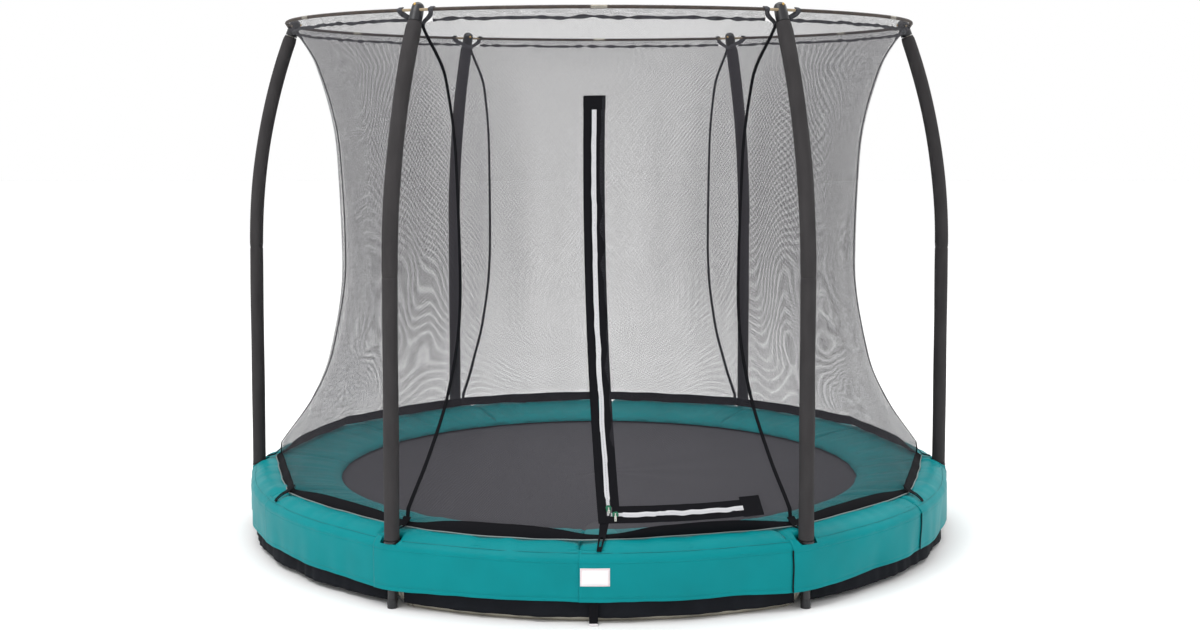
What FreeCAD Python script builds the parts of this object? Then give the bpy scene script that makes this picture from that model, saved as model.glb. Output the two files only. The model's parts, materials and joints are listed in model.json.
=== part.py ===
import FreeCAD, Part
import math
import os
from FreeCAD import Vector as V

# In-ground garden trampoline with a safety-net enclosure.
# Frame: +Z up, origin on the ground at the centre of the pole circle, -Y is the side with the zipped door.
# All lengths in millimetres, all angles in degrees.

os.makedirs("parts", exist_ok=True)

# ---------------------------------------------------------------- driving dimensions
N_POLES = 6
R_POLE = 1280.0          # radius of the circle through the pole centres
POLE_OD = 28.0
POLE_WALL = 1.5
POLE_FOOT_Z = 4.0        # the pole stands in a cap with a 4 mm floor
POLE_JOINT_Z = 1029.0    # straight lower tube ends, bent upper tube starts
POLE_BEND_R = 2270.0     # bend radius of the upper tube, towards the axis
POLE_TOP_Z = 1834.0
FOAM_LOW_OD = 48.0
FOAM_UP_OD = 50.0
FOAM_BOTTOM_Z = 212.0
FOAM_TOP_Z = 1810.0

R_RING = 1236.0          # ring frame centre line
Z_RING = 186.0
RING_OD = 38.0
RING_WALL = 1.5
BASE_OD = 32.0           # base and leg tube
BASE_WALL = 1.5
ELBOW_R = 55.0

R_HOOP = 1136.0          # fibreglass hoop that holds the net open
Z_HOOP = 1848.0
ROD_OD = 9.0

MAT_R = 1040.0
MAT_Z = 180.0
MAT_T = 2.0
N_SPRINGS = 48

# pad cross-section, (r, z), going round
PAD = [(958, 185), (1036, 187), (1058, 198), (1200, 209.5), (1266, 209.5), (1300, 200), (1300, 75),
       (1305, 75), (1305, 198), (1296, 218), (1264, 233), (1200, 236), (1100, 228), (1010, 213), (958, 197)]
PAD_A0 = 267.3           # angle of the first joint between pad sections
PAD_STEP = 7.5

SKIRT_R = 1262.0
SKIRT_T = 1.5
SKIRT_Z = (16.0, 204.0)

NET_T = 2.0
# net profile, (r, z)
NET = [(1190, 288), (1082, 445), (1000, 637), (946, 980), (961, 1382), (1036, 1700), (1092, 1797), (1131, 1842)]
BORDER = [(1210, 241), (1191, 285)]

# zip: three points of the vertical chain's circle, and the horizontal chain's arc
ZIP_BOTTOM = (30.0, 1176.0, 308.0)   # (x, r, z)
ZIP_MID = (-9.0, 944.0, 950.0)
ZIP_TOP = (-14.0, 1000.0, 1583.0)
ZIP_END_DEG = 22.3       # where the horizontal chain ends, counted from the front
PATCH_END_DEG = 25.4
TAPE_HALF = 34.0
TAPE_LOW = 27.0
FOLD_TOP = (26.0, 998.0, 1572.0)
FOLD_END = (25.6, 1157.0, 337.0)     # (angle from the front, r, z)


# ---------------------------------------------------------------- helpers
def rad(a):
    return math.radians(a)


def pol(r, a, z):
    return V(r * math.cos(rad(a)), r * math.sin(rad(a)), z)


def front(r, phi, z):
    """A point by its angle from the front (-Y), positive towards +X."""
    return V(r * math.sin(rad(phi)), -r * math.cos(rad(phi)), z)


def fix(s):
    if s.ShapeType != "Solid" and len(s.Solids) == 1:
        s = s.Solids[0]
    if s.Volume < 0:
        s.reverse()
    return s


def cyl(p, q, r):
    d = q - p
    return Part.makeCylinder(r, d.Length, p, d)


def tube(p, q, ro, ri):
    d = (q - p).normalize()
    return cyl(p, q, ro).cut(cyl(p - d, q + d, ri))


def ring_face(c, n, ro, ri=0.0):
    wo = Part.Wire([Part.makeCircle(ro, c, n)])
    if ri <= 0:
        return Part.Face(wo)
    wi = Part.Wire([Part.makeCircle(ri, c, n)])
    return Part.Face(wo).cut(Part.Face(wi)).Faces[0]


def arc_tube(r_path, z, a1, a2, ro, ri=0.0):
    """A tube bent round the Z axis from angle a1 to a2."""
    c = pol(r_path, a1, z)
    n = V(-math.sin(rad(a1)), math.cos(rad(a1)), 0)
    return fix(ring_face(c, n, ro, ri).revolve(V(0, 0, 0), V(0, 0, 1), a2 - a1))


def prism(pts, vec):
    return fix(Part.Face(Part.makePolygon(list(pts) + [pts[0]])).extrude(vec))


def shrink(pts, m):
    """A convex planar polygon with every side moved in by m. Returns None if nothing is left."""
    n = V(0, 0, 0)
    for i in range(1, len(pts) - 1):
        n = n + (pts[i] - pts[0]).cross(pts[i + 1] - pts[0])
    n.normalize()
    k = len(pts)
    out = []
    for i in range(k):
        a, b, c = pts[i - 1], pts[i], pts[(i + 1) % k]
        e1 = (b - a).normalize()
        e2 = (c - b).normalize()
        i1 = n.cross(e1)
        i2 = n.cross(e2)
        den = 1 + i1.dot(i2)
        if den < 0.001:
            return None
        out.append(b + (i1 + i2) * (m / den))
    for i in range(k):
        if (out[(i + 1) % k] - out[i]).dot(pts[(i + 1) % k] - pts[i]) <= 0:
            return None
    return out


def plate(pts, t, outward, m=1.5):
    """A flat panel t thick on the outward side of a polygon, kept m clear of its neighbours."""
    n = (pts[1] - pts[0]).cross(pts[2] - pts[0])
    n.normalize()
    flat = len(pts) == 3 or abs((pts[3] - pts[0]).dot(n)) < 0.02
    if not flat:
        return plate([pts[0], pts[1], pts[2]], t, outward, m) + plate([pts[0], pts[2], pts[3]], t, outward, m)
    p = shrink(pts, m)
    if p is None:
        return []
    if n.dot(outward) < 0:
        n = n * -1
    return [prism(p, n * t)]


def box_on(o, u, v, w, ur, vr, wr):
    """A block in the frame (u, v, w) at o, over the ranges ur, vr, wr."""
    a = [o + u * ur[0] + v * vr[0] + w * wr[0], o + u * ur[1] + v * vr[0] + w * wr[0],
         o + u * ur[1] + v * vr[1] + w * wr[0], o + u * ur[0] + v * vr[1] + w * wr[0]]
    return prism(a, w * (wr[1] - wr[0]))


def hexa(p):
    """A solid from eight corners: 0-3 the first end in order, 4-7 the second end."""
    q = [(0, 1, 2, 3), (7, 6, 5, 4), (0, 4, 5, 1), (1, 5, 6, 2), (2, 6, 7, 3), (3, 7, 4, 0)]
    faces = []
    for f in q:
        pts = [p[i] for i in f]
        faces.append(Part.Face(Part.makePolygon(pts + [pts[0]])))
    return fix(Part.Solid(Part.Shell(faces)))


def facet_ring(section, angles):
    """One solid with a section given as (r, z), faceted round Z through the given angles."""
    rings = [[pol(r, a, z) for r, z in section] for a in angles]
    faces = [Part.Face(Part.makePolygon(rings[0] + [rings[0][0]])),
             Part.Face(Part.makePolygon(rings[-1] + [rings[-1][0]]))]
    k = len(section)
    for i in range(len(rings) - 1):
        for j in range(k):
            a, b = rings[i][j], rings[i][(j + 1) % k]
            c, d = rings[i + 1][(j + 1) % k], rings[i + 1][j]
            faces.append(Part.Face(Part.makePolygon([a, b, c, d, a])))
    return fix(Part.Solid(Part.Shell(faces)))


def spin(shape, a):
    s = shape.copy()
    s.rotate(V(0, 0, 0), V(0, 0, 1), a)
    return s


def save(name, solids):
    if not isinstance(solids, (list, tuple)):
        solids = [solids]
    flat = []
    for s in solids:
        flat.extend(s.Solids)
    for s in flat:
        if not s.isValid() or s.Volume <= 0:
            print("PROBLEM", name, s.isValid(), s.Volume)
    shape = flat[0] if len(flat) == 1 else Part.makeCompound(flat)
    shape.exportStep("parts/%s.step" % name)
    b = shape.BoundBox
    print("%-24s %4d solids  %10.1f cm3  z %.1f..%.1f" % (name, len(flat), sum(s.Volume for s in flat) / 1000, b.ZMin, b.ZMax))
    return shape


def net_r(z, prof=None):
    prof = prof or NET
    if z <= prof[0][1]:
        return prof[0][0]
    for (r1, z1), (r2, z2) in zip(prof, prof[1:]):
        if z <= z2:
            return r1 + (r2 - r1) * (z - z1) / (z2 - z1)
    return prof[-1][0]


POLES = [i * 360.0 / N_POLES for i in range(N_POLES)]
STEP60 = 360.0 / N_POLES

# ---------------------------------------------------------------- ring frame
ro, ri = RING_OD / 2, RING_OD / 2 - RING_WALL
for i, a in enumerate(POLES):
    save("ring_tube_%d" % (i + 1), arc_tube(R_RING, Z_RING, a + 0.06, a + STEP60 - 0.06, ro, ri))

# T-joints: a curved sleeve over the two ring tube ends and a stub over the leg
joint = arc_tube(R_RING, Z_RING, -3.0, 3.0, 22.0)
joint = joint.fuse(Part.makeCylinder(20.0, Z_RING - 108, V(R_RING, 0, 108)))
joint = joint.cut(arc_tube(R_RING, Z_RING, -3.2, 3.2, ro + 0.3))
joint = fix(joint.cut(Part.makeCylinder(16.3, 44, V(R_RING, 0, 106))).removeSplitter())
save("ring_joints", [spin(joint, a) for a in POLES])

# ---------------------------------------------------------------- base tubes and legs: three U-shaped legs
bo, bi = BASE_OD / 2, BASE_OD / 2 - BASE_WALL
elbow_deg = math.degrees(math.asin(ELBOW_R / R_RING))
for i in range(3):
    a = 240.0 + 120.0 * i
    save("base_tube_%d" % (i + 1), arc_tube(R_RING, bo, a + elbow_deg + 0.05, a + STEP60 - elbow_deg - 0.05, bo, bi))


def leg(a, side):
    """An upright with its elbow; side is +1 if the base tube leaves towards rising angle."""
    t = V(-math.sin(rad(a)), math.cos(rad(a)), 0) * side
    foot = pol(R_RING, a, 0)
    # the base tube's end, projected onto the upright's tangent plane
    start = pol(R_RING, a + side * elbow_deg, bo)
    run = (start - foot).dot(t)
    c = foot + t * run + V(0, 0, bo + run)
    axis = t.cross(V(0, 0, 1))
    f = ring_face(foot + V(0, 0, bo + run), V(0, 0, 1), bo, bi)
    up = f.extrude(V(0, 0, 148.0 - bo - run))
    bend = f.revolve(c, axis, 90.0)
    return fix(up), fix(bend), c, axis


legs = []
for i in range(3):
    a = 240.0 + 120.0 * i
    for ang, side in ((a, 1), (a + STEP60, -1)):
        up, bend, c, axis = leg(ang, side)
        if bend.BoundBox.ZMax > bo + 70:      # turned the wrong way: turn it down instead
            f = ring_face(pol(R_RING, ang, c.z), V(0, 0, 1), bo, bi)
            bend = fix(f.revolve(c, axis, -90.0))
        whole = fix(up.fuse(bend).removeSplitter())
        legs.append(whole)
save("leg_tubes", legs)

# ---------------------------------------------------------------- net poles
po, pi_ = POLE_OD / 2, POLE_OD / 2 - POLE_WALL
save("net_poles_lower", [tube(pol(R_POLE, a, POLE_FOOT_Z), pol(R_POLE, a, POLE_JOINT_Z - 0.2), po, pi_) for a in POLES])

BEND_C = R_POLE - POLE_BEND_R   # centre of the bend, (r, z) = (BEND_C, POLE_JOINT_Z)


def bend_deg(z):
    return math.degrees(math.asin((z - POLE_JOINT_Z) / POLE_BEND_R))


def pole_arc(r_out, r_in, z1, z2):
    """A length of the upper pole's bend between two heights, in the plane of angle 0."""
    a1, a2 = bend_deg(z1), bend_deg(z2)
    c = V(BEND_C + POLE_BEND_R * math.cos(rad(a1)), 0, POLE_JOINT_Z + POLE_BEND_R * math.sin(rad(a1)))
    n = V(-math.sin(rad(a1)), 0, math.cos(rad(a1)))
    f = ring_face(c, n, r_out, r_in)
    return fix(f.revolve(V(BEND_C, 0, POLE_JOINT_Z), V(0, -1, 0), a2 - a1))


upper = pole_arc(po, pi_, POLE_JOINT_Z + 0.2, POLE_TOP_Z)
foam_up = pole_arc(FOAM_UP_OD / 2, po + 0.4, POLE_JOINT_Z + 0.6, FOAM_TOP_Z)
foam_low = tube(V(R_POLE, 0, FOAM_BOTTOM_Z), V(R_POLE, 0, POLE_JOINT_Z - 1.4), FOAM_LOW_OD / 2, po + 0.4)
for i, a in enumerate(POLES):
    save("net_pole_upper_%d" % (i + 1), spin(upper, a))
for i, a in enumerate(POLES):
    save("foam_sleeve_%d" % (i + 1), [spin(foam_low, a), spin(foam_up, a)])

# foot cap: a cup under the pole
cap = Part.makeCylinder(16.0, 27, V(R_POLE, 0, 0))
cap = cap.cut(Part.makeCylinder(po + 0.1, 30, V(R_POLE, 0, POLE_FOOT_Z)))
save("pole_foot_caps", [spin(cap, a) for a in POLES])

# end ring under the foam sleeve
er = tube(V(R_POLE, 0, FOAM_BOTTOM_Z - 6.5), V(R_POLE, 0, FOAM_BOTTOM_Z - 0.5), 25.5, po + 0.4)
save("sleeve_end_rings", [spin(er, a) for a in POLES])

# pole-top cap: a domed plug over the pole end, with a hole for the hoop rod
q_deg = bend_deg(1812.0)
Q = V(BEND_C + POLE_BEND_R * math.cos(rad(q_deg)), 0, 1812.0)
T = V(-math.sin(rad(q_deg + 0.3)), 0, math.cos(rad(q_deg + 0.3)))
O = V(T.z, 0, -T.x)             # outward across the cap
body = [(0, 0), (21, 0), (21, 26), (20, 44), (19, 52), (15, 58), (8, 62), (0, 63)]
face = Part.Face(Part.makePolygon([Q + O * x + T * s for x, s in body] + [Q]))
top = fix(face.revolve(Q, T, 360))
top = top.cut(Part.makeCylinder(po + 0.4, 28, Q - T * 2, T))
top = top.cut(arc_tube(R_HOOP, Z_HOOP, -3, 3, ROD_OD / 2 + 0.4))
BOLT_S = 50.5
top = fix(top.cut(cyl(Q + T * BOLT_S - O * 30, Q + T * BOLT_S + O * 30, 2.6)))
save("pole_caps", [spin(top, a) for a in POLES])
bolt = cyl(Q + T * BOLT_S - O * 20.5, Q + T * BOLT_S + O * 20.5, 2.5)
for s in (1, -1):
    h = Part.Face(Part.makePolygon([Q + T * (BOLT_S + y) + O * (s * x) for x, y in
                                    ((19.9, 0), (19.9, 4.6), (21.6, 3.8), (22.6, 1.8), (22.8, 0))] + [Q + T * BOLT_S + O * (s * 19.9)]))
    bolt = bolt.fuse(fix(h.revolve(Q + T * BOLT_S, O, 360)))
bolt = fix(bolt.removeSplitter())
save("pole_cap_bolts", [spin(bolt, a) for a in POLES])

# clamps that hold each pole to its T-joint stub and to the leg under it
clamps, fasteners = [], []
for r_in, r_wall, z1, z2, r_bolt in ((20.1, 22.2, 116.0, 144.0, 1261.2), (16.1, 18.6, 80.0, 102.0, 1259.2)):
    c = Part.makeCylinder(r_wall, z2 - z1, V(R_RING, 0, z1))
    c = c.fuse(Part.makeCylinder(16.1, z2 - z1, V(R_POLE, 0, z1)))
    web = [V(R_RING, -r_wall + 0.1, z1), V(R_POLE, -16.0, z1), V(R_POLE, 16.0, z1), V(R_RING, r_wall - 0.1, z1)]
    c = c.fuse(prism(web, V(0, 0, z2 - z1))).removeSplitter()
    c = c.cut(Part.makeCylinder(r_in, z2 - z1 + 4, V(R_RING, 0, z1 - 2)))
    c = c.cut(Part.makeCylinder(po + 0.1, z2 - z1 + 4, V(R_POLE, 0, z1 - 2)))
    zb = (z1 + z2) / 2
    c = fix(c.cut(cyl(V(r_bolt, -30, zb), V(r_bolt, 30, zb), 2.6)))
    clamps.append(c)
    y0 = 20.6
    shaft = cyl(V(r_bolt, -y0, zb), V(r_bolt, 26, zb), 2.5)
    hexp = [V(r_bolt + 4.6 * math.cos(rad(60 * k)), -y0 - 3.5, zb + 4.6 * math.sin(rad(60 * k))) for k in range(6)]
    shaft = fix(shaft.fuse(prism(hexp, V(0, 3.7, 0))).removeSplitter())
    hexn = [V(r_bolt + 4.6 * math.cos(rad(60 * k)), y0, zb + 4.6 * math.sin(rad(60 * k))) for k in range(6)]
    nut = fix(prism(hexn, V(0, 4, 0)).cut(cyl(V(r_bolt, y0 - 2, zb), V(r_bolt, 30, zb), 2.52)))
    fasteners += [shaft, nut]
save("pole_clamps", [spin(c, a) for a in POLES for c in clamps])
save("clamp_bolts", [spin(c, a) for a in POLES for c in fasteners])

# screws that pin each leg into its T-joint stub
head = cyl(V(R_RING - 27.2, 0, 128), V(R_RING - 23.6, 0, 128), 5.0)
# the screw stops short of the leg's bore, in the stub's wall
screw = fix(cyl(V(R_RING - 23.7, 0, 128), V(R_RING - 22.4, 0, 128), 2.4).fuse(head).removeSplitter())
save("leg_screws", [spin(screw, a) for a in POLES])

# ---------------------------------------------------------------- hoop of fibreglass rods
save("hoop_rods", [arc_tube(R_HOOP, Z_HOOP, a + 30.06, a + 89.94, ROD_OD / 2) for a in POLES])
fer = []
for a in POLES:
    c = pol(R_HOOP - 0.12, a + 30, Z_HOOP)
    t = V(-math.sin(rad(a + 30)), math.cos(rad(a + 30)), 0)
    fer.append(tube(c - t * 25, c + t * 25, 6.2, ROD_OD / 2 + 0.5))
save("rod_ferrules", fer)

# ---------------------------------------------------------------- jumping mat, its rings and the springs
pts = [pol(MAT_R, 360.0 / N_SPRINGS * k, MAT_Z) for k in range(N_SPRINGS)]
save("jump_mat", prism(pts, V(0, 0, MAT_T)))
binding = []
for k in range(N_SPRINGS):
    a1, a2 = 7.5 * k, 7.5 * (k + 1)
    binding += plate([pol(1006, a1, MAT_Z + MAT_T + 0.1), pol(MAT_R, a1, MAT_Z + MAT_T + 0.1),
                      pol(MAT_R, a2, MAT_Z + MAT_T + 0.1), pol(1006, a2, MAT_Z + MAT_T + 0.1)], 1.5, V(0, 0, 1), 0.2)
save("mat_binding", binding)

ring = prism([V(1043, -9, 179), V(1043, 9, 179), V(1070, 14, 179), V(1070, -14, 179)], V(0, 0, 4))
ring = fix(ring.cut(prism([V(1047, -5.5, 178), V(1047, 5.5, 178), V(1066, 10, 178), V(1066, -10, 178)], V(0, 0, 6))))
save("mat_rings", [spin(ring, 7.5 * k + 3.75) for k in range(N_SPRINGS)])

link = prism([V(1058.5, -1.75, 172), V(1079, -1.75, 172), V(1079, -1.75, 192), V(1058.5, -1.75, 192)], V(0, 3.5, 0))
link = link.cut(prism([V(1062, -3, 175.5), V(1074, -3, 175.5), V(1074, -3, 188.5), V(1062, -3, 188.5)], V(0, 6, 0)))
coil = tube(V(1078, 0, 183), V(1196, 0, 183), 11.0, 9.3)
end1 = cyl(V(1077.5, 0, 183), V(1079.5, 0, 183), 10.9)
end2 = cyl(V(1194.5, 0, 183), V(1196.5, 0, 183), 10.9)
hook = cyl(V(1195, 0, 184), V(1216.0, 0, 184), 2.0)
spring = fix(link.fuse(coil).fuse(end1).fuse(end2).fuse(hook).removeSplitter())
save("springs", [spin(spring, 7.5 * k + 3.75) for k in range(N_SPRINGS)])

# ---------------------------------------------------------------- spring pad: six sections with a flap that hangs outside the poles
for i in range(6):
    a0 = PAD_A0 + STEP60 * i
    angles = [a0 + PAD_STEP * k for k in range(9)]
    angles[0] += 0.05
    angles[-1] -= 0.05
    s = facet_ring(PAD, angles)
    for a in POLES + [360.0, 420.0, 480.0, 540.0, 600.0]:
        if a0 < a < a0 + STEP60:
            notch = prism([V(1249, -30, 199), V(1330, -30, 199), V(1330, 30, 199), V(1249, 30, 199)], V(0, 0, 60))
            s = s.cut(spin(notch, a))
    save("pad_section_%d" % (i + 1), fix(s))

# blank label on the front flap
p1, p2 = pol(1305, PAD_A0, 0), pol(1305, PAD_A0 + PAD_STEP, 0)
u = (p2 - p1).normalize()
w = V(u.y, -u.x, 0)
if w.dot(V(0, -1, 0)) < 0:
    w = w * -1
o = p1 + w * 0.4
save("pad_label", box_on(V(o.x, o.y, 0), u, V(0, 0, 1), w, (6.0, 98.0), (118.0, 173.0), (0.0, 1.0)))

# ---------------------------------------------------------------- skirt under the pad, split at the poles
skirt = []
for a in POLES:
    lo, hi = a + 1.45, a + STEP60 - 1.45
    cuts = [lo] + [a + 7.5 * k for k in range(1, 8)] + [hi]
    for a1, a2 in zip(cuts, cuts[1:]):
        skirt += plate([pol(SKIRT_R, a1, SKIRT_Z[0]), pol(SKIRT_R, a2, SKIRT_Z[0]),
                        pol(SKIRT_R, a2, SKIRT_Z[1]), pol(SKIRT_R, a1, SKIRT_Z[1])], SKIRT_T, pol(1, (a1 + a2) / 2, 0), 0.15)
save("frame_skirt", skirt)
# a strap that holds the front of the pad flap down to the ground
save("pad_strap", box_on(V(-16.5, -1266.0, 0), V(1, 0, 0), V(0, 0, 1), V(0, -1, 0), (-13.5, 13.5), (0.0, 178.0), (0.0, 4.0)))

# ---------------------------------------------------------------- zip geometry
def p_of(p):
    x, r, z = p
    return V(x, -math.sqrt(r * r - x * x), z)


A, B, C = p_of(ZIP_BOTTOM), p_of(ZIP_MID), p_of(ZIP_TOP)
ZN = (B - A).cross(C - A)
ZN.normalize()
if ZN.x < 0:
    ZN = ZN * -1
m1, m2 = (A + B) * 0.5, (A + C) * 0.5
d1, d2 = (B - A), (C - A)
# centre: in the plane of A, B, C and equally far from them
e1 = d1 * (1.0 / d1.Length)
e2 = ZN.cross(e1)
bx, cx, cy = d1.Length, d2.dot(e1), d2.dot(e2)
ux = bx / 2
uy = (cx * cx + cy * cy - 2 * cx * ux) / (2 * cy)
ZC = A + e1 * ux + e2 * uy
ZR = (A - ZC).Length
U = (A - ZC) * (1.0 / ZR)            # from the centre to the bottom of the zip
W = ZN.cross(U)                       # turning about +ZN goes this way
if W.z < 0:
    ZTURN = -1.0
    W = W * -1
else:
    ZTURN = 1.0
ZIP_TOTAL = math.degrees(math.atan2((C - ZC).dot(W), (C - ZC).dot(U)))
print("zip circle: centre %.2f %.2f %.2f  radius %.2f  axis %.5f %.5f %.5f  turn %+.0f  total %.2f deg"
      % (ZC.x, ZC.y, ZC.z, ZR, ZN.x, ZN.y, ZN.z, ZTURN, ZIP_TOTAL))


def zp(s_mm, w=0.0, out=0.0):
    """A point of the vertical zip: s along it from the corner, w across (+ to the door side), out of the net."""
    t = s_mm / ZR
    d = U * math.cos(t) + W * math.sin(t)
    return ZC + d * (ZR - out) + ZN * w


def zframe(s_mm):
    t = s_mm / ZR
    d = U * math.cos(t) + W * math.sin(t)
    return ZC + d * ZR, (W * math.cos(t) - U * math.sin(t)), ZN, d * -1


def zrev(poly, s1, s2):
    """Revolve a section given as (w, out) along the vertical zip from s1 to s2."""
    f = Part.Face(Part.makePolygon([zp(s1, w, o) for w, o in poly] + [zp(s1, *poly[0])]))
    return fix(f.revolve(ZC, ZN * ZTURN, math.degrees((s2 - s1) / ZR)))


ZS = ZR * rad(ZIP_TOTAL)              # length of the vertical zip
HZ, HR = ZIP_BOTTOM[2], ZIP_BOTTOM[1]
sl = V(-108, 0, 157)                  # the net's slope here, (dr, dz)
sl.normalize()
H0 = math.degrees(math.asin(ZIP_BOTTOM[0] / HR))


def hp(phi, w=0.0, out=0.0):
    """A point of the horizontal zip: phi from the front, w up the net, out of the net."""
    r = HR + sl.x * w + sl.z * out
    z = HZ + sl.z * w - sl.x * out
    return front(r, phi, z)


def hframe(phi):
    o = hp(phi)
    er = front(1, phi, 0)
    return o, V(math.cos(rad(phi)), math.sin(rad(phi)), 0), er * sl.x + V(0, 0, sl.z), er * sl.z + V(0, 0, -sl.x)


def hrev(poly, p1, p2):
    f = Part.Face(Part.makePolygon([hp(p1, w, o) for w, o in poly] + [hp(p1, *poly[0])]))
    return fix(f.revolve(V(0, 0, 0), V(0, 0, 1), p2 - p1))


def vtape(s1, s2, n, w1, w2):
    out = []
    for k in range(n):
        a, b = s1 + (s2 - s1) * k / n + 0.3, s1 + (s2 - s1) * (k + 1) / n - 0.3
        out.append(hexa([zp(a, w1, -1), zp(a, w2, -1), zp(a, w2, 1), zp(a, w1, 1),
                         zp(b, w1, -1), zp(b, w2, -1), zp(b, w2, 1), zp(b, w1, 1)]))
    return out


def htape(p1, p2, n, w1, w2):
    out = []
    for k in range(n):
        a, b = p1 + (p2 - p1) * k / n + 0.02, p1 + (p2 - p1) * (k + 1) / n - 0.02
        out.append(hexa([hp(a, w1, -1), hp(a, w2, -1), hp(a, w2, 1), hp(a, w1, 1),
                         hp(b, w1, -1), hp(b, w2, -1), hp(b, w2, 1), hp(b, w1, 1)]))
    return out


S_TOP = ZS - 46.0                     # the vertical chain's end
fixed_tape = vtape(-26, S_TOP, 13, -TAPE_HALF, -6.2)
fixed_tape += vtape(S_TOP + 3, S_TOP + 47, 1, -TAPE_HALF, TAPE_HALF)
fixed_tape += htape(math.degrees(math.asin(28.5 / HR)), ZIP_END_DEG, 5, -TAPE_LOW, -6.2)
fixed_tape += htape(ZIP_END_DEG + 0.15, PATCH_END_DEG, 1, -TAPE_LOW - 1, TAPE_LOW - 1)
save("zip_tape_fixed", fixed_tape)
door_tape = vtape(34, S_TOP, 12, 6.2, TAPE_HALF)
door_tape += htape(math.degrees(math.asin(38.0 / HR)), ZIP_END_DEG, 5, 6.2, TAPE_LOW)
save("zip_tape_door", door_tape)
half = [(1.1, -1.5), (5.7, -1.5), (5.7, 1.5), (1.1, 1.5)]
neg = [(-w, o) for w, o in half]
save("zip_chain_fixed", [zrev(neg, 6, S_TOP), hrev(neg, H0 + 0.35, ZIP_END_DEG)])
save("zip_chain_door", [zrev(half, 9, S_TOP), hrev(half, H0 + 0.45, ZIP_END_DEG)])

# sliders: an H section round both chain halves, with lugs and a pin for the pull tab
hsec = [(-7, 2.7), (-7, 4.9), (7, 4.9), (7, 2.7), (0.75, 2.7), (0.75, -2.3), (7, -2.3), (7, -4.1), (-7, -4.1), (-7, -2.3), (-0.75, -2.3), (-0.75, 2.7)]
PIN_OUT = 7.6


def slider(frame_at, rev, a, b, along):
    o, s, w, out = frame_at
    body = rev(hsec, a, b)
    pin_dir, other = (w, s) if along else (s, w)
    parts = [body]
    for k in (-1, 1):
        parts.append(box_on(o, pin_dir, other, out, (k * 3.1 - 0.8, k * 3.1 + 0.8), (-1.8, 1.8), (4.6, 9.2)))
    parts.append(cyl(o + pin_dir * -3.2 + out * PIN_OUT, o + pin_dir * 3.2 + out * PIN_OUT, 0.8))
    body = parts[0]
    for p in parts[1:]:
        body = body.fuse(p)
    return fix(body.removeSplitter())


def pull(frame_at, along, length):
    o, s, w, out = frame_at
    pin_dir = w if along else s
    down = (s * -1) if along else (w * -1)
    hub = cyl(o + pin_dir * -2.0 + out * PIN_OUT, o + pin_dir * 2.0 + out * PIN_OUT, 1.9)
    arm = box_on(o + out * PIN_OUT, pin_dir, down, out, (-1.6, 1.6), (0.0, 7.0), (-0.7, 0.7))
    leaf = box_on(o + out * PIN_OUT, pin_dir, down, out, (-3.4, 3.4), (6.0, length), (-0.7, 0.7))
    t = hub.fuse(arm).fuse(leaf)
    t = t.cut(cyl(o + pin_dir * -5 + out * PIN_OUT, o + pin_dir * 5 + out * PIN_OUT, 0.86))
    hole = o + down * (length - 4.5) + out * PIN_OUT
    t = t.cut(cyl(hole - out * 3, hole + out * 3, 1.5))
    return fix(t.removeSplitter())


SV = 19.0
SHP = H0 + 0.95
fv = zframe(SV)
fh = hframe(SHP)
save("zip_slider_vertical", slider(fv, zrev, SV - 7.5, SV + 7.5, True))
dphi = math.degrees(7.5 / HR)
save("zip_slider_horizontal", slider(fh, hrev, SHP - dphi, SHP + dphi, False))
save("zip_pull_vertical", pull(fv, True, 17.0))
save("zip_pull_horizontal", pull(fh, False, 24.0))
pv = fv[0] + fv[3] * PIN_OUT
ph = fh[0] + fh[3] * PIN_OUT
print("pull pivots: vertical %.3f %.3f %.3f axis %.4f %.4f %.4f" % (pv.x, pv.y, pv.z, fv[2].x, fv[2].y, fv[2].z))
print("             horizontal %.3f %.3f %.3f axis %.4f %.4f %.4f" % (ph.x, ph.y, ph.z, fh[1].x, fh[1].y, fh[1].z))
print("slider travel: vertical %.2f deg, horizontal %.2f deg" % (math.degrees((S_TOP - 10 - SV) / ZR), ZIP_END_DEG - 0.5 - SHP))

# ---------------------------------------------------------------- safety net, faceted, with the door flap cut out at the front
def poly_k(phi, z):
    """The net hangs straight between its bottom corners and is round higher up."""
    rel = (phi % 30.0) - 15.0
    k = math.cos(rad(15)) / math.cos(rad(rel))
    t = max(0.0, min(1.0, (z - 285.0) / 160.0))
    return k + (1 - k) * t


def surf(phi, z):
    return front(net_r(z) * poly_k(phi, z), phi, z)


def cell(phi_a, phi_b, z1, z2, m=1.5, phi_c=None, phi_d=None):
    """A panel with its lower edge phi_a..phi_b at z1 and its upper edge phi_c..phi_d at z2."""
    c = phi_a if phi_c is None else phi_c
    d = phi_b if phi_d is None else phi_d
    mid = (phi_a + phi_b) / 2
    dr = net_r(z2) - net_r(z1)
    n = front(1, mid, 0) * (z2 - z1) + V(0, 0, -dr)
    if abs(phi_b - phi_a) < 0.05:
        return plate([surf(phi_a, z1), surf(d, z2), surf(c, z2)], NET_T, n, m)
    if abs(d - c) < 0.05:
        return plate([surf(phi_a, z1), surf(phi_b, z1), surf(c, z2)], NET_T, n, m)
    return plate([surf(phi_a, z1), surf(phi_b, z1), surf(d, z2), surf(c, z2)], NET_T, n, m)


LEVELS = [z for r, z in NET]
net, door = [], []
for k in range(24):
    p1, p2 = 15.0 * k, 15.0 * (k + 1)
    if k in (0, 1, 23):
        continue
    for z1, z2 in zip(LEVELS[:-2], LEVELS[1:-1]):
        net += cell(p1, p2, z1, z2)

fx, fr, fz = FOLD_TOP
gphi, gr, gz = FOLD_END
fold_a = V(fx, -math.sqrt(fr * fr - fx * fx), fz)
fold_b = front(gr, gphi, gz)
print("fold axis: from %.3f %.3f %.3f to %.3f %.3f %.3f" % (fold_a.x, fold_a.y, fold_a.z, fold_b.x, fold_b.y, fold_b.z))


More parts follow.
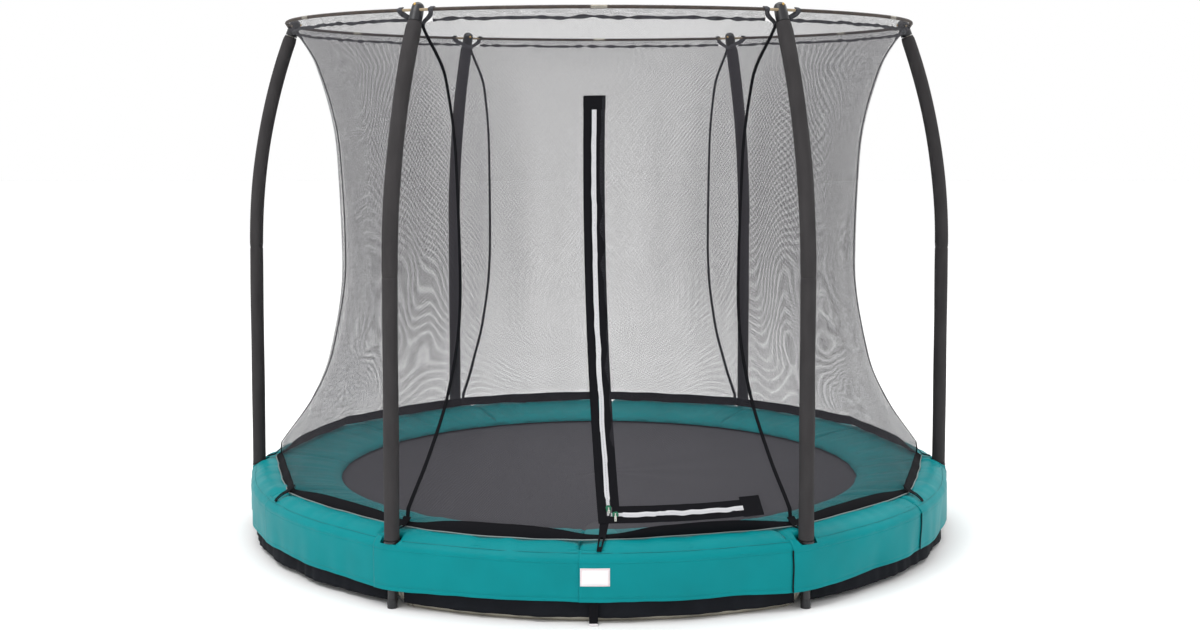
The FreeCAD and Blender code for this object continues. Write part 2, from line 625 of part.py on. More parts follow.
def zip_x(z):
    """x of the vertical zip's centre line at height z."""
    lo, hi = 0.0, ZS + 60
    for _ in range(50):
        mid = (lo + hi) / 2
        if zp(mid).z < z:
            lo = mid
        else:
            hi = mid
    return zp(lo).x


def deg_of(x, z):
    return math.degrees(math.asin(max(-1, min(1, x / net_r(z)))))


def left_phi(z):
    return deg_of(zip_x(z) - TAPE_HALF - 1.5, z)


def right_phi(z):
    return deg_of(zip_x(z) + TAPE_HALF + 1.5, z)


def fold_phi(z, off=0.0):
    x = fx + (fold_b.x - fx) * (fz - z) / (fz - gz)
    return deg_of(x + off, z)


# left of the zip
for z1, z2 in zip(LEVELS[:-2], LEVELS[1:-1]):
    if z2 <= 1382:
        net += cell(-15, left_phi(z1), z1, z2, phi_c=-15, phi_d=left_phi(z2))
net += cell(-15, left_phi(1382), 1382, 1632, phi_c=-15, phi_d=left_phi(1600))
# above the zip and right of the fold
net += cell(-15, 0, 1632, 1700) + cell(0, 15, 1632, 1700)
net += cell(-15, 0, 1700, 1797) + cell(0, 15, 1700, 1797)
top_l = max(fold_phi(1572, 6), right_phi(1600))
net += cell(top_l, 15, 1572, 1630)
net += cell(left_phi(1600) + 0.1, top_l - 0.1, 1588, 1630)
zs = [345.0, 445.0, 637.0, 980.0, 1382.0, 1560.0]
for z1, z2 in zip(zs, zs[1:]):
    a1, a2 = fold_phi(z1, 5), fold_phi(z2, 5)
    # split where the fold passes 15 degrees
    if a1 > 15 and a2 > 15:
        net += cell(a1, 30, z1, z2, phi_c=a2, phi_d=30)
    elif a1 > 15 >= a2:
        net += cell(a1, 30, z1, z2, phi_c=15, phi_d=30) if a1 < 30 else []
        zc = z1
        while fold_phi(zc, 5) > 15:
            zc += 1.0
        net += cell(15, 15, zc, z2, phi_c=a2, phi_d=15) if z2 - zc > 20 else []
    else:
        net += cell(a1, 15, z1, z2, phi_c=a2, phi_d=15)
        net += cell(15, 30, z1, z2)
net += cell(15, 30, 1560, 1700) + cell(15, 30, 1700, 1797)
net += cell(PATCH_END_DEG + 0.4, 30, 288, 343)
# the door flap's panels
zs = [343.0, 445.0, 637.0, 980.0, 1382.0]
for z1, z2 in zip(zs, zs[1:]):
    a1, a2 = right_phi(z1), right_phi(z2)
    b1, b2 = fold_phi(z1, -3), fold_phi(z2, -3)
    m1, m2 = (a1 + b1) / 2, (a2 + b2) / 2
    if b1 - a1 > 12:
        door += cell(a1, m1, z1, z2, phi_c=a2, phi_d=m2)
        door += cell(m1, b1, z1, z2, phi_c=m2, phi_d=b2)
    else:
        door += cell(a1, b1, z1, z2, phi_c=a2, phi_d=b2)
save("safety_net", net)
save("door_flap", door)

# hem under the hoop, open at each pole
hem = []
for a in POLES:
    lo, hi = a + 2.4, a + STEP60 - 2.4
    cuts = [lo, a + 15, a + 30, a + 45, hi]
    for a1, a2 in zip(cuts, cuts[1:]):
        n = pol(1, (a1 + a2) / 2, -0.6)
        hem += plate([pol(1096, a1, 1800.5), pol(1096, a2, 1800.5), pol(1130, a2, 1841), pol(1130, a1, 1841)], 4.0, n, 0.3)
save("net_top_hem", hem)

# border band along the net's bottom, straight between its twelve corners
border = []
for k in range(12):
    a1, a2 = 30.0 * k, 30.0 * (k + 1)
    (r1, z1), (r2, z2) = BORDER
    border += plate([pol(r1, a1, z1), pol(r1, a2, z1), pol(r2, a2, z2), pol(r2, a1, z2)], 3.0, pol(0.9, (a1 + a2) / 2, 0.4), 1.2)
save("net_border", border)

# webbing over the six seams, from the hoop ties down to the border
web = []
prof = [(1191, 290), (1082, 445), (1000, 637), (946, 980), (961, 1382), (1036, 1700), (1092, 1797)]
for a in POLES:
    t = V(-math.sin(rad(a)), math.cos(rad(a)), 0)
    for (r1, z1), (r2, z2) in zip(prof, prof[1:]):
        p, q = pol(r1, a, z1), pol(r2, a, z2)
        d = (q - p).normalize()
        n = t.cross(d) * 1.0
        if n.dot(pol(1, a, 0)) < 0:
            n = n * -1
        L = (pol(r2, a, z2) - p).Length
        web.append(box_on(p, d, t, n, (2.0, L - 2.0), (-6.0, 6.0), (3.2, 5.0)))
save("seam_webbing", web)

# straps: from each border corner outwards over the pad
straps = []
for k in range(12):
    a = 30.0 * k
    t = V(-math.sin(rad(a)), math.cos(rad(a)), 0)
    end = 1251.0 if k % 2 == 0 else 1262.0
    p, q = pol(1213, a, 243.0), pol(end, a, 238.5)
    d = (q - p).normalize()
    n = V(0, 0, 1)
    straps.append(prism([p - t * 6, p + t * 6, q + t * 6, q - t * 6], V(0, 0, 2)))
save("tie_straps", straps)
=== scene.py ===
"""Backyard trampoline: fabric, padding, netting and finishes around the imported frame. Units in the helpers are mm."""
import bpy
import bmesh
import json
import math
import numpy as np
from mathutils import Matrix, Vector


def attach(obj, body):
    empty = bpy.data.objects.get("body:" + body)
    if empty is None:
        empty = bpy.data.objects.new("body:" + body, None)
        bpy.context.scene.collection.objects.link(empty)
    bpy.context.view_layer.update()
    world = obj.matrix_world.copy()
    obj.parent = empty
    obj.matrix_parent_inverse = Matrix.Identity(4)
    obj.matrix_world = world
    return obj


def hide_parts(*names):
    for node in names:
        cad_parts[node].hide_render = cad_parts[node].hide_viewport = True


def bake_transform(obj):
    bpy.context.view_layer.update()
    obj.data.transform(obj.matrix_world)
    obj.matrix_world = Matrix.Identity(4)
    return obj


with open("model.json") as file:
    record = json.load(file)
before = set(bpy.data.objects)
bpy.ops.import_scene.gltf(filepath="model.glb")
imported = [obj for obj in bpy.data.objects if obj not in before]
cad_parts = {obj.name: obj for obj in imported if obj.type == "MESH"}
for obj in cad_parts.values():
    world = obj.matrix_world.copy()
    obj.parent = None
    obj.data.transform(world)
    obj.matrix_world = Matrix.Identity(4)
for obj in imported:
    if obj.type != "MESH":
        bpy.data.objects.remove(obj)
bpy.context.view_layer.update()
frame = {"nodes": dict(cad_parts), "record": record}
MM = 0.001
rng = np.random.default_rng(7)
SC = bpy.context.scene


# ---------------------------------------------------------------- small helpers
def rad(a):
    return np.radians(a)


def pol(r, a, z):
    """Points from radius, angle in degrees (270 is the front) and height."""
    r, a, z = np.broadcast_arrays(np.asarray(r, float), np.asarray(a, float), np.asarray(z, float))
    return np.stack([r * np.cos(rad(a)), r * np.sin(rad(a)), z], -1)


def smooth(t):
    t = np.clip(t, 0, 1)
    return t * t * (3 - 2 * t)


def pchip(xs, ys):
    """A monotone smooth curve through the points."""
    xs, ys = np.asarray(xs, float), np.asarray(ys, float)
    h, d = np.diff(xs), np.diff(ys) / np.diff(xs)
    m = np.zeros_like(xs)
    m[0], m[-1] = d[0], d[-1]
    for i in range(1, len(xs) - 1):
        if d[i - 1] * d[i] > 0:
            w1, w2 = 2 * h[i] + h[i - 1], h[i] + 2 * h[i - 1]
            m[i] = (w1 + w2) / (w1 / d[i - 1] + w2 / d[i])

    def f(x):
        x = np.clip(np.asarray(x, float), xs[0], xs[-1])
        i = np.clip(np.searchsorted(xs, x, side="right") - 1, 0, len(xs) - 2)
        t = (x - xs[i]) / h[i]
        return (ys[i] * (1 + 2 * t) * (1 - t) ** 2 + h[i] * m[i] * t * (1 - t) ** 2
                + ys[i + 1] * t * t * (3 - 2 * t) + h[i] * m[i + 1] * t * t * (t - 1))
    return f


class Noise:
    """Smooth periodic noise round the ring, with a second coordinate that slides it."""
    def __init__(self, seed, lo, hi, n=14):
        g = np.random.default_rng(seed)
        self.k = g.integers(lo, hi + 1, n)
        self.p = g.uniform(0, 6.283, n)
        self.q = g.uniform(-1, 1, n)
        self.w = g.uniform(0.4, 1, n)
        self.w /= np.sqrt((self.w ** 2).sum() / 2)

    def __call__(self, a, t=0.0):
        a, t = np.broadcast_arrays(np.asarray(a, float), np.asarray(t, float))
        out = np.zeros(a.shape)
        for k, p, q, w in zip(self.k, self.p, self.q, self.w):
            out += w * np.sin(k * rad(a) + p + q * t)
        return out


def add_mesh(name, V, F, mat, body="frame", slot=None, smooth_on=True, uv=None, angle=None):
    """V in mm. F is a list of index tuples or an (n, 4) array."""
    me = bpy.data.meshes.new(name)
    me.from_pydata((np.asarray(V, float).reshape(-1, 3) * MM).tolist(), [], [tuple(int(i) for i in f) for f in F])
    me.validate()
    if uv is not None:
        lay = me.uv_layers.new(name="cloth_uv")
        idx = np.zeros(len(me.loops), np.int64)
        me.loops.foreach_get("vertex_index", idx)
        lay.data.foreach_set("uv", (np.asarray(uv, float).reshape(-1, 2)[idx] * MM).ravel())
    me.polygons.foreach_set("use_smooth", [smooth_on] * len(me.polygons))
    me.materials.append(mat)
    o = bpy.data.objects.new(name, me)
    SC.collection.objects.link(o)
    if angle is not None:
        me.set_sharp_from_angle(angle=math.radians(angle))
    if body:
        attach(o, body)
    return o


def grid_faces(nu, nv, off=0, wrap_u=False, wrap_v=False, flip=False):
    iu = np.arange(nu if wrap_u else nu - 1)
    iv = np.arange(nv if wrap_v else nv - 1)
    U, W = np.meshgrid(iu, iv, indexing="ij")
    a = U * nv + W
    b = ((U + 1) % nu) * nv + W
    c = ((U + 1) % nu) * nv + (W + 1) % nv
    d = U * nv + (W + 1) % nv
    q = np.stack([a, b, c, d], -1).reshape(-1, 4) + off
    return q[:, ::-1] if flip else q


class Pile:
    """Collects several grids into one mesh."""
    def __init__(self):
        self.V, self.F, self.n = [], [], 0

    def add(self, P, F):
        P = np.asarray(P, float).reshape(-1, 3)
        self.V.append(P)
        self.F += [tuple(int(i) + self.n for i in f) for f in F]
        self.n += len(P)

    def grid(self, P, **kw):
        self.add(P, grid_faces(P.shape[0], P.shape[1], **kw))

    def loops(self, P, caps=True):
        """P[i] is a closed section; the sections are joined in a row, with the ends closed."""
        nu, nv = P.shape[:2]
        F = [tuple(f) for f in grid_faces(nu, nv, wrap_v=True)]
        if caps:
            F.append(tuple(range(nv - 1, -1, -1))[::-1])
            F.append(tuple((nu - 1) * nv + j for j in range(nv))[::-1])
        self.add(P, F)

    def make(self, name, mat, **kw):
        return add_mesh(name, np.concatenate(self.V), self.F, mat, **kw)


def fix_normals(o):
    bm = bmesh.new()
    bm.from_mesh(o.data)
    bmesh.ops.recalc_face_normals(bm, faces=bm.faces)
    bm.to_mesh(o.data)
    bm.free()
    return o


def ribbon_sections(path, side, normal, width, thick, n_round=8):
    """Closed flat sections along a path. side and normal are unit vectors at each point."""
    path, side, normal = np.asarray(path, float), np.asarray(side, float), np.asarray(normal, float)
    width = np.broadcast_to(np.asarray(width, float), len(path))
    out = []
    for p, s, n, w in zip(path, side, normal, width):
        h, t = w / 2, thick / 2
        sec = [(-h + 0.4 * t, -t), (0, -t), (h - 0.4 * t, -t), (h, 0), (h - 0.4 * t, t), (0, t), (-h + 0.4 * t, t), (-h, 0)]
        out.append([p + s * x + n * y for x, y in sec])
    return np.array(out)


def tube_sections(path, r, n=10, up=(0, 0, 1)):
    path = np.asarray(path, float)
    r = np.broadcast_to(np.asarray(r, float), len(path))
    t = np.gradient(path, axis=0)
    t /= np.linalg.norm(t, axis=1)[:, None]
    up = np.broadcast_to(np.asarray(up, float), path.shape)
    s = np.cross(t, up)
    s /= np.linalg.norm(s, axis=1)[:, None] + 1e-12
    w = np.cross(s, t)
    a = np.linspace(0, 2 * np.pi, n, endpoint=False)
    return path[:, None] + r[:, None, None] * (s[:, None] * np.cos(a)[None, :, None] + w[:, None] * np.sin(a)[None, :, None])


# ---------------------------------------------------------------- materials
def srgb(r, g, b):
    def f(c):
        c /= 255.0
        return c / 12.92 if c <= 0.04045 else ((c + 0.055) / 1.055) ** 2.4
    return (f(r), f(g), f(b), 1.0)


class Mat:
    """A principled material with a little node-building help."""
    def __init__(self, name, color, rough=0.6, metal=0.0, spec=None, coat=0.0):
        self.m = bpy.data.materials.new(name)
        self.m.use_nodes = True
        self.t = self.m.node_tree
        self.b = self.t.nodes["Principled BSDF"]
        self.b.inputs["Base Color"].default_value = color
        self.b.inputs["Roughness"].default_value = rough
        self.b.inputs["Metallic"].default_value = metal
        if spec is not None:
            self.b.inputs["Specular IOR Level"].default_value = spec
        if coat:
            self.b.inputs["Coat Weight"].default_value = coat
        self.color = color

    def node(self, kind, **kw):
        n = self.t.nodes.new(kind)
        for k, v in kw.items():
            setattr(n, k, v)
        return n

    def link(self, a, b):
        self.t.links.new(a, b)

    def coords(self, scale=(1, 1, 1), uv=None):
        if uv:
            src = self.node("ShaderNodeUVMap", uv_map=uv).outputs[0]
        else:
            src = self.node("ShaderNodeTexCoord").outputs["Object"]
        mp = self.node("ShaderNodeMapping")
        mp.inputs["Scale"].default_value = scale
        self.link(src, mp.inputs[0])
        return mp.outputs[0]

    def mottle(self, scale=6.0, amount=0.12, detail=4.0, stretch=(1, 1, 1)):
        """Soft variation of the base colour."""
        n = self.node("ShaderNodeTexNoise")
        n.inputs["Scale"].default_value = scale
        n.inputs["Detail"].default_value = detail
        self.link(self.coords(stretch), n.inputs["Vector"])
        r = self.node("ShaderNodeValToRGB")
        c = self.color
        r.color_ramp.elements[0].position, r.color_ramp.elements[1].position = 0.3, 0.7
        r.color_ramp.elements[0].color = tuple(x * (1 - amount) for x in c[:3]) + (1,)
        r.color_ramp.elements[1].color = tuple(min(1, x * (1 + amount)) for x in c[:3]) + (1,)
        self.link(n.outputs["Fac"], r.inputs[0])
        self.link(r.outputs[0], self.b.inputs["Base Color"])
        return self

    def bump(self, kind="noise", scale=400.0, strength=0.2, dist=0.0005, stretch=(1, 1, 1), uv=None):
        if kind == "noise":
            n = self.node("ShaderNodeTexNoise")
            n.inputs["Detail"].default_value = 3.0
            out = n.outputs["Fac"]
        elif kind == "wave":
            n = self.node("ShaderNodeTexWave")
            n.inputs["Distortion"].default_value = 0.4
            out = n.outputs["Fac"]
        else:
            n = self.node("ShaderNodeTexChecker")
            out = n.outputs["Fac"]
        n.inputs["Scale"].default_value = scale
        self.link(self.coords(stretch, uv), n.inputs["Vector"])
        bp = self.node("ShaderNodeBump")
        bp.inputs["Strength"].default_value = strength
        bp.inputs["Distance"].default_value = dist
        self.link(out, bp.inputs["Height"])
        self.link(bp.outputs[0], self.b.inputs["Normal"])
        return self


steel = Mat("galvanised_steel", srgb(168, 163, 150), 0.42, 0.75).mottle(22, 0.14).m
black_steel = Mat("black_coated_steel", srgb(34, 34, 36), 0.42, 0.0).m
sleeve_m = Mat("foam_sleeve_cover", srgb(54, 52, 53), 0.8, 0.0, 0.2).mottle(30, 0.12, 3, (1, 1, 0.3)).bump("noise", 700, 0.25, 0.0006).m
plastic_m = Mat("black_plastic", srgb(30, 30, 33), 0.38).m
zinc_m = Mat("zinc_fastener", srgb(170, 170, 172), 0.35, 0.9).m
brass_m = Mat("brass_bolt", srgb(196, 160, 96), 0.3, 0.95).m
rod_m = Mat("fibreglass_rod", srgb(150, 132, 104), 0.45).mottle(60, 0.2, 3).m
weave_m = Mat("mat_weave", srgb(65, 64, 69), 0.75, 0.0, 0.3).bump("wave", 260, 0.18, 0.0005).m
web_m = Mat("black_webbing", srgb(15, 15, 19), 0.88, 0.0, 0.14).bump("noise", 900, 0.35, 0.0006).m
edge_m = Mat("dark_edge_binding", srgb(62, 62, 66), 0.85, 0.0, 0.2).mottle(140, 0.45, 3).m
spring_m = Mat("spring_steel", srgb(176, 176, 174), 0.28, 0.95).m
teal_m = Mat("teal_pvc", srgb(0, 129, 134), 0.46, 0.0, 0.1).mottle(5, 0.07, 3).bump("noise", 120, 0.12, 0.001).m
# light-grey cord colour for the border piping; the light grey also stands as a painted highlight on the pad's crest
crest_highlight_piping_m = Mat("grey_piping_with_painted_highlight", srgb(118, 132, 131), 0.5).m
label_m = Mat("white_label", srgb(240, 234, 236), 0.7).m
label_edge_m = Mat("label_stitch", srgb(232, 196, 200), 0.75).m
skirt_m = Mat("skirt_fabric", srgb(24, 26, 31), 0.88, 0.0, 0.14).mottle(9, 0.15, 4).bump("noise", 500, 0.3, 0.0008).m
coil_m = Mat("zip_coil", srgb(206, 206, 209), 0.5).m
green_m = Mat("green_enamel", srgb(14, 98, 70), 0.45, 0.0, 0.3).m
pull_m = Mat("pull_metal", srgb(196, 198, 190), 0.25, 0.9).m
stitch_m = Mat("dark_stitch", srgb(20, 104, 108), 0.8).m


def net_material(name, pitch, strand, colour):
    """Knitted mesh: two families of crossing strands, open between them."""
    M = Mat(name, colour, 0.75, 0.0, 0.25)
    u = M.node("ShaderNodeUVMap", uv_map="cloth_uv")
    s = M.node("ShaderNodeSeparateXYZ")
    M.link(u.outputs[0], s.inputs[0])

    def math_(op, a, b=None):
        n = M.node("ShaderNodeMath", operation=op)
        for i, v in enumerate((a, b)):
            if v is None:
                continue
            if isinstance(v, (int, float)):
                n.inputs[i].default_value = v
            else:
                M.link(v, n.inputs[i])
        return n.outputs[0]
    masks = []
    for op in ("ADD", "SUBTRACT"):
        w = math_(op, s.outputs[0], math_("MULTIPLY", s.outputs[1], 0.8))
        f = math_("FRACT", math_("ADD", math_("MULTIPLY", w, 1.0 / pitch), 4000.0))
        d = math_("ABSOLUTE", math_("SUBTRACT", f, 0.5))
        masks.append(math_("GREATER_THAN", d, 0.5 - strand / 2))
    M.link(math_("MAXIMUM", masks[0], masks[1]), M.b.inputs["Alpha"])
    return M.m


net_m = net_material("net_mesh", 0.0044, 0.146, srgb(58, 56, 62))

CAD_MATS = {
    "galvanised_steel": steel, "black_coated_steel": black_steel, "black_plastic": plastic_m, "zinc_fastener": zinc_m,
    "brass_bolt": brass_m, "fibreglass": rod_m, "spring_steel": spring_m, "green_enamel": green_m, "pull_metal": pull_m,
    "foam_sleeve_cover": sleeve_m, "black_webbing": web_m, "mat_weave": weave_m, "teal_pvc_pad": teal_m, "white_label": label_m,
    "skirt_fabric": skirt_m, "net_mesh": net_m, "zip_coil": coil_m,
}
NODE_SLOT = {}
for k in range(1, 7):
    NODE_SLOT[f"ring_tube_{k}"] = "galvanised_steel"
    NODE_SLOT[f"net_pole_upper_{k}"] = "galvanised_steel"
for k in range(1, 4):
    NODE_SLOT[f"base_tube_{k}"] = "galvanised_steel"
NODE_SLOT.update({
    "ring_joints": "galvanised_steel", "leg_tubes": "galvanised_steel", "leg_screws": "zinc_fastener",
    "net_poles_lower": "black_coated_steel", "pole_caps": "black_plastic", "pole_cap_bolts": "brass_bolt",
    "pole_foot_caps": "black_plastic", "sleeve_end_rings": "black_plastic", "pole_clamps": "black_coated_steel",
    "clamp_bolts": "zinc_fastener", "hoop_rods": "fibreglass", "rod_ferrules": "galvanised_steel", "mat_rings": "spring_steel",
    "zip_slider_vertical": "green_enamel", "zip_slider_horizontal": "green_enamel",
    "zip_pull_vertical": "pull_metal", "zip_pull_horizontal": "pull_metal",
})
for m in frame["record"].get("materials", []):
    for n in m.get("nodes", []) or []:
        if n in frame["nodes"] and n not in NODE_SLOT:
            NODE_SLOT[n] = m.get("slot")
for n, o in frame["nodes"].items():
    mt = CAD_MATS.get(NODE_SLOT.get(n), black_steel)
    if not o.data.materials:
        o.data.materials.append(mt)
    for i in range(len(o.data.materials)):
        o.data.materials[i] = mt

# ---------------------------------------------------------------- driving geometry, as in the CAD part
JOINT_A0 = 267.3
POLES = [60.0 * k for k in range(6)]
NET = [(1190, 288), (1082, 445), (1000, 637), (946, 980), (961, 1382), (1036, 1700), (1092, 1797), (1131, 1842)]
net_r0 = pchip([z for r, z in NET], [r for r, z in NET])

ZC = np.array([164.03, -2443.95, 1137.79])
ZN = np.array([0.99299, 0.11682, 0.01817])
ZN /= np.linalg.norm(ZN)
ZA = pol(1176.0, 270 + math.degrees(math.asin(30 / 1176.0)), 308.0)
ZR = np.linalg.norm(ZA - ZC)
ZU = (ZA - ZC) / ZR
ZW = np.cross(ZN, ZU)
if ZW[2] < 0:
    ZW = -ZW
ZS = ZR * math.radians(50.07)
S_TOP = ZS - 46.0


def zp(s, w=0.0, out=0.0):
    s, w, out = np.broadcast_arrays(np.asarray(s, float), np.asarray(w, float), np.asarray(out, float))
    t = s / ZR
    d = ZU * np.cos(t)[..., None] + ZW * np.sin(t)[..., None]
    return ZC + d * (ZR - out)[..., None] + ZN * w[..., None]


H0 = math.degrees(math.asin(30 / 1176.0))
SL = np.array([-108.0, 157.0])
SL /= np.linalg.norm(SL)


def hp(phi, w=0.0, out=0.0):
    phi, w, out = np.broadcast_arrays(np.asarray(phi, float), np.asarray(w, float), np.asarray(out, float))
    r = 1176.0 + SL[0] * w + SL[1] * out
    return pol(r, 270 + phi, 308.0 + SL[1] * w - SL[0] * out)


_s = np.linspace(-40, ZS + 60, 400)
_z = zp(_s)
zip_x = lambda z: np.interp(z, _z[:, 2], _z[:, 0])
zip_r = lambda z: np.interp(z, _z[:, 2], np.hypot(_z[:, 0], _z[:, 1]))
FOLD_A = pol(998.0, 270 + math.degrees(math.asin(26 / 998.0)), 1572.0)
FOLD_B = pol(1157.0, 270 + 25.6, 337.0)
fold_n = np.cross(FOLD_B - FOLD_A, np.array([0.25, -0.97, 0.0]))
fold_n /= np.linalg.norm(fold_n)
if (ZA - FOLD_A) @ fold_n > 0:
    fold_n = -fold_n


def corner(a, width):
    d = np.abs((np.asarray(a, float) + 15) % 30 - 15)
    return np.exp(-(d / width) ** 2)


def poly_k(a, z):
    rel = (np.asarray(a, float) % 30.0) - 15.0
    k = math.cos(rad(15)) / np.cos(rad(rel))
    t = smooth((np.asarray(z, float) - 285.0) / 190.0)
    return k + (1 - k) * t


n_low = Noise(3, 7, 40)
n_mid = Noise(5, 30, 90)


def net_r(a, z):
    """Radius of the net's surface at an angle and height."""
    a, z = np.broadcast_arrays(np.asarray(a, float), np.asarray(z, float))
    r = net_r0(z) * (band_k(a) + (poly_k(a, z) - poly_k(a, 241.0)) / (1.0 - poly_k(a, 241.0) + 1e-9) * (1 - band_k(a)))
    # the webbing at each pole and corner pulls the cloth a little
    r = r + 5.0 * corner(a, 3.0) * smooth((560 - z) / 220) - 2.0 * n_low(a, z / 300) * smooth((z - 330) / 200) * smooth((1790 - z) / 150)
    d60 = np.abs((a + 30) % 60 - 30)
    r = r + 4.0 * np.exp(-(d60 / 2.0) ** 2) * smooth((z - 500) / 300)
    phi = (a - 270 + 180) % 360 - 180
    x = net_r0(z) * np.sin(rad(phi))
    w = smooth(1.35 - np.abs(x - zip_x(z)) / 150.0) * smooth((1720 - z) / 130.0) * (np.abs(phi) < 60)
    r = r + (zip_r(z) - 2.0 - r) * w
    wh = smooth(1.3 - np.abs(z - 308.0) / 55.0) * smooth((phi + 4) / 4.0) * smooth((28 - phi) / 3.0)
    rl = 1176.0 + SL[0] / SL[1] * (z - 308.0) - 2.0
    r = r + (rl - r) * wh
    return r


def place(o, slotname, *nodes):
    if nodes:
        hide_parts(*nodes)
    return o


# ---------------------------------------------------------------- the safety net and the door flap
def band_top(a):
    a = np.asarray(a, float) % 360
    seg = np.interp((a // 30), np.arange(12), [1, 1, 1, 1, 1, 1, 0.3, 0.55, 0.82, 0.95, 0.5, 0.35])
    back = smooth(np.minimum(a, 180 - a) / 14.0)
    return 241.0 + 12.0 + 27.0 * seg * (1 - corner(a, 6.2) * (1 - 0.85 * back))


def z_low_net(a):
    d = np.abs((np.asarray(a, float) - 270 + 180) % 360 - 180)
    return band_top(a) - 3.0 + 40.0 * np.exp(-(d / 2.2) ** 4)


def band_k(a):
    """How far the border bows out from the straight line between two corners."""
    a = np.asarray(a, float) % 360
    bow = np.interp((a // 30), np.arange(12), [0.2, 0.35, 0.25, 0.3, 0.2, 0.3, 0.15, 0.4, 0.95, 0.3, 0.3, 0.2])
    k = poly_k(a, 241.0)
    return k + (1 - k) * bow


def z_top_net(a):
    d60 = np.abs((a + 30) % 60 - 30)
    return 1816.0 - 9.0 * np.exp(-(d60 / 1.6) ** 2)


front_a = np.arange(258, 304.1, 0.75)
rest_a = np.arange(304.75, 618 - 0.6, 1.25)
AA = np.concatenate([front_a, rest_a])
NV = 74
TT = np.linspace(0, 1, NV) ** 1.12
A2, T2 = np.meshgrid(AA, TT, indexing="ij")
Z2 = z_low_net(A2) * (1 - T2) + z_top_net(A2) * T2
PN = pol(net_r(A2, Z2), A2, Z2)
UVN = np.stack([rad(A2) * 1020.0, Z2 + 0 * A2], -1)
# close the loop: the last column meets the first, so one more column with its own UV
PN = np.concatenate([PN, PN[:1]], 0)
last = UVN[:1].copy()
last[..., 0] += 2 * math.pi * 1020.0
UVN = np.concatenate([UVN, last], 0)
net = add_mesh("net_cloth_work", PN, grid_faces(PN.shape[0], NV), net_m, body=None, uv=UVN)


def split_net(o):
    bm = bmesh.new()
    bm.from_mesh(o.data)

    def region():
        fs = [f for f in bm.faces if f.calc_center_median().y < -0.80 and -0.16 < f.calc_center_median().x < 0.64
              and f.calc_center_median().z < 1.70]
        g = set(fs)
        for f in fs:
            g.update(f.edges)
            g.update(f.verts)
        return list(g)
    zn, zc = Vector(ZN), Vector(ZC * MM)
    cuts = [(zc + zn * 0.016, zn), (zc - zn * 0.016, zn), (Vector(FOLD_A * MM), Vector(fold_n)),
            (Vector((0, 0, 0.298)), Vector((0, 0, 1))), (Vector((0, 0, 0.318)), Vector((0, 0, 1))),
            (Vector((0, 0, 1.552)), Vector((0, 0, 1)))]
    for co, no in cuts:
        bmesh.ops.bisect_plane(bm, geom=region(), dist=1e-6, plane_co=co, plane_no=no)
    door, gone = [], []
    for f in bm.faces:
        c = f.calc_center_median()
        if c.y > -0.80:
            continue
        w = (c - zc).dot(zn) * 1000
        fs = (c - Vector(FOLD_A * MM)).dot(Vector(fold_n)) * 1000
        phi = math.degrees(math.atan2(c.x, -c.y))
        z = c.z * 1000
        in_v = abs(w) < 16 and 298 < z < 1552
        in_h = 298 < z < 318 and w > -16 and phi < 24.6 and phi > 0
        if in_v or in_h:
            gone.append(f)
        elif w > 16 and z > 318 and z < 1552 and fs < 0 and -4 < phi < 32:
            door.append(f)
    bm2 = bm.copy()
    bm.faces.ensure_lookup_table()
    bm2.faces.ensure_lookup_table()
    di, gi = {f.index for f in door}, {f.index for f in gone}
    return bm, bm2, di, gi


_bm = bmesh.new()
_bm.from_mesh(net.data)
_bm.free()
bmA, bmB, door_i, gone_i = split_net(net)
for b in (bmA, bmB):
    b.faces.index_update()


def net_part(bm, keep, name):
    dead = [f for f in bm.faces if not keep(f.index)]
    bmesh.ops.delete(bm, geom=dead, context="FACES")
    me = bpy.data.meshes.new(name)
    bm.to_mesh(me)
    bm.free()
    me.materials.append(net_m)
    me.polygons.foreach_set("use_smooth", [True] * len(me.polygons))
    o = bpy.data.objects.new(name, me)
    SC.collection.objects.link(o)
    return o


idx_all = list(range(len(bmA.faces)))
net_cloth = net_part(bmA, lambda i: i not in door_i and i not in gone_i, "net_cloth")
door_cloth = net_part(bmB, lambda i: i in door_i, "door_cloth")
bpy.data.objects.remove(net)
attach(net_cloth, "frame")
place(net_cloth, "net_mesh", "safety_net")
place(door_cloth, "net_mesh", "door_flap")


for o in (net_cloth, door_cloth):
    md = o.modifiers.new("thread_thickness", "SOLIDIFY")
    md.thickness, md.offset, md.use_rim = 0.0006, 0, False
blend_dir = -fold_n.copy()
# towards the zip corner, square to the fold
toward = ZA - FOLD_A
axis = (FOLD_B - FOLD_A) / np.linalg.norm(FOLD_B - FOLD_A)
toward = toward - axis * (toward @ axis)
toward /= np.linalg.norm(toward)
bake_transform(door_cloth)


def both_sides_strip(name, point_fn, t_range, n, w1, w2, thick, mat, slotname, nw=4, ripple=0.0, seed=1):
    """A tape along a curve: point_fn(t, w, out) gives its points."""
    t = np.linspace(t_range[0], t_range[1], n)
    g = np.random.default_rng(seed)
    wob = np.interp(t, np.linspace(t_range[0], t_range[1], 24), g.normal(0, ripple, 24)) if ripple else np.zeros(n)
    secs = []
    ws = np.linspace(w1, w2, nw)
    for ti, wb in zip(t, wob):
        lo = [point_fn(ti, w, -thick / 2 + wb) for w in ws]
        hi = [point_fn(ti, w, thick / 2 + wb) for w in ws[::-1]]
        secs.append(lo + hi)
    p = Pile()
    p.loops(np.array(secs))
    return p


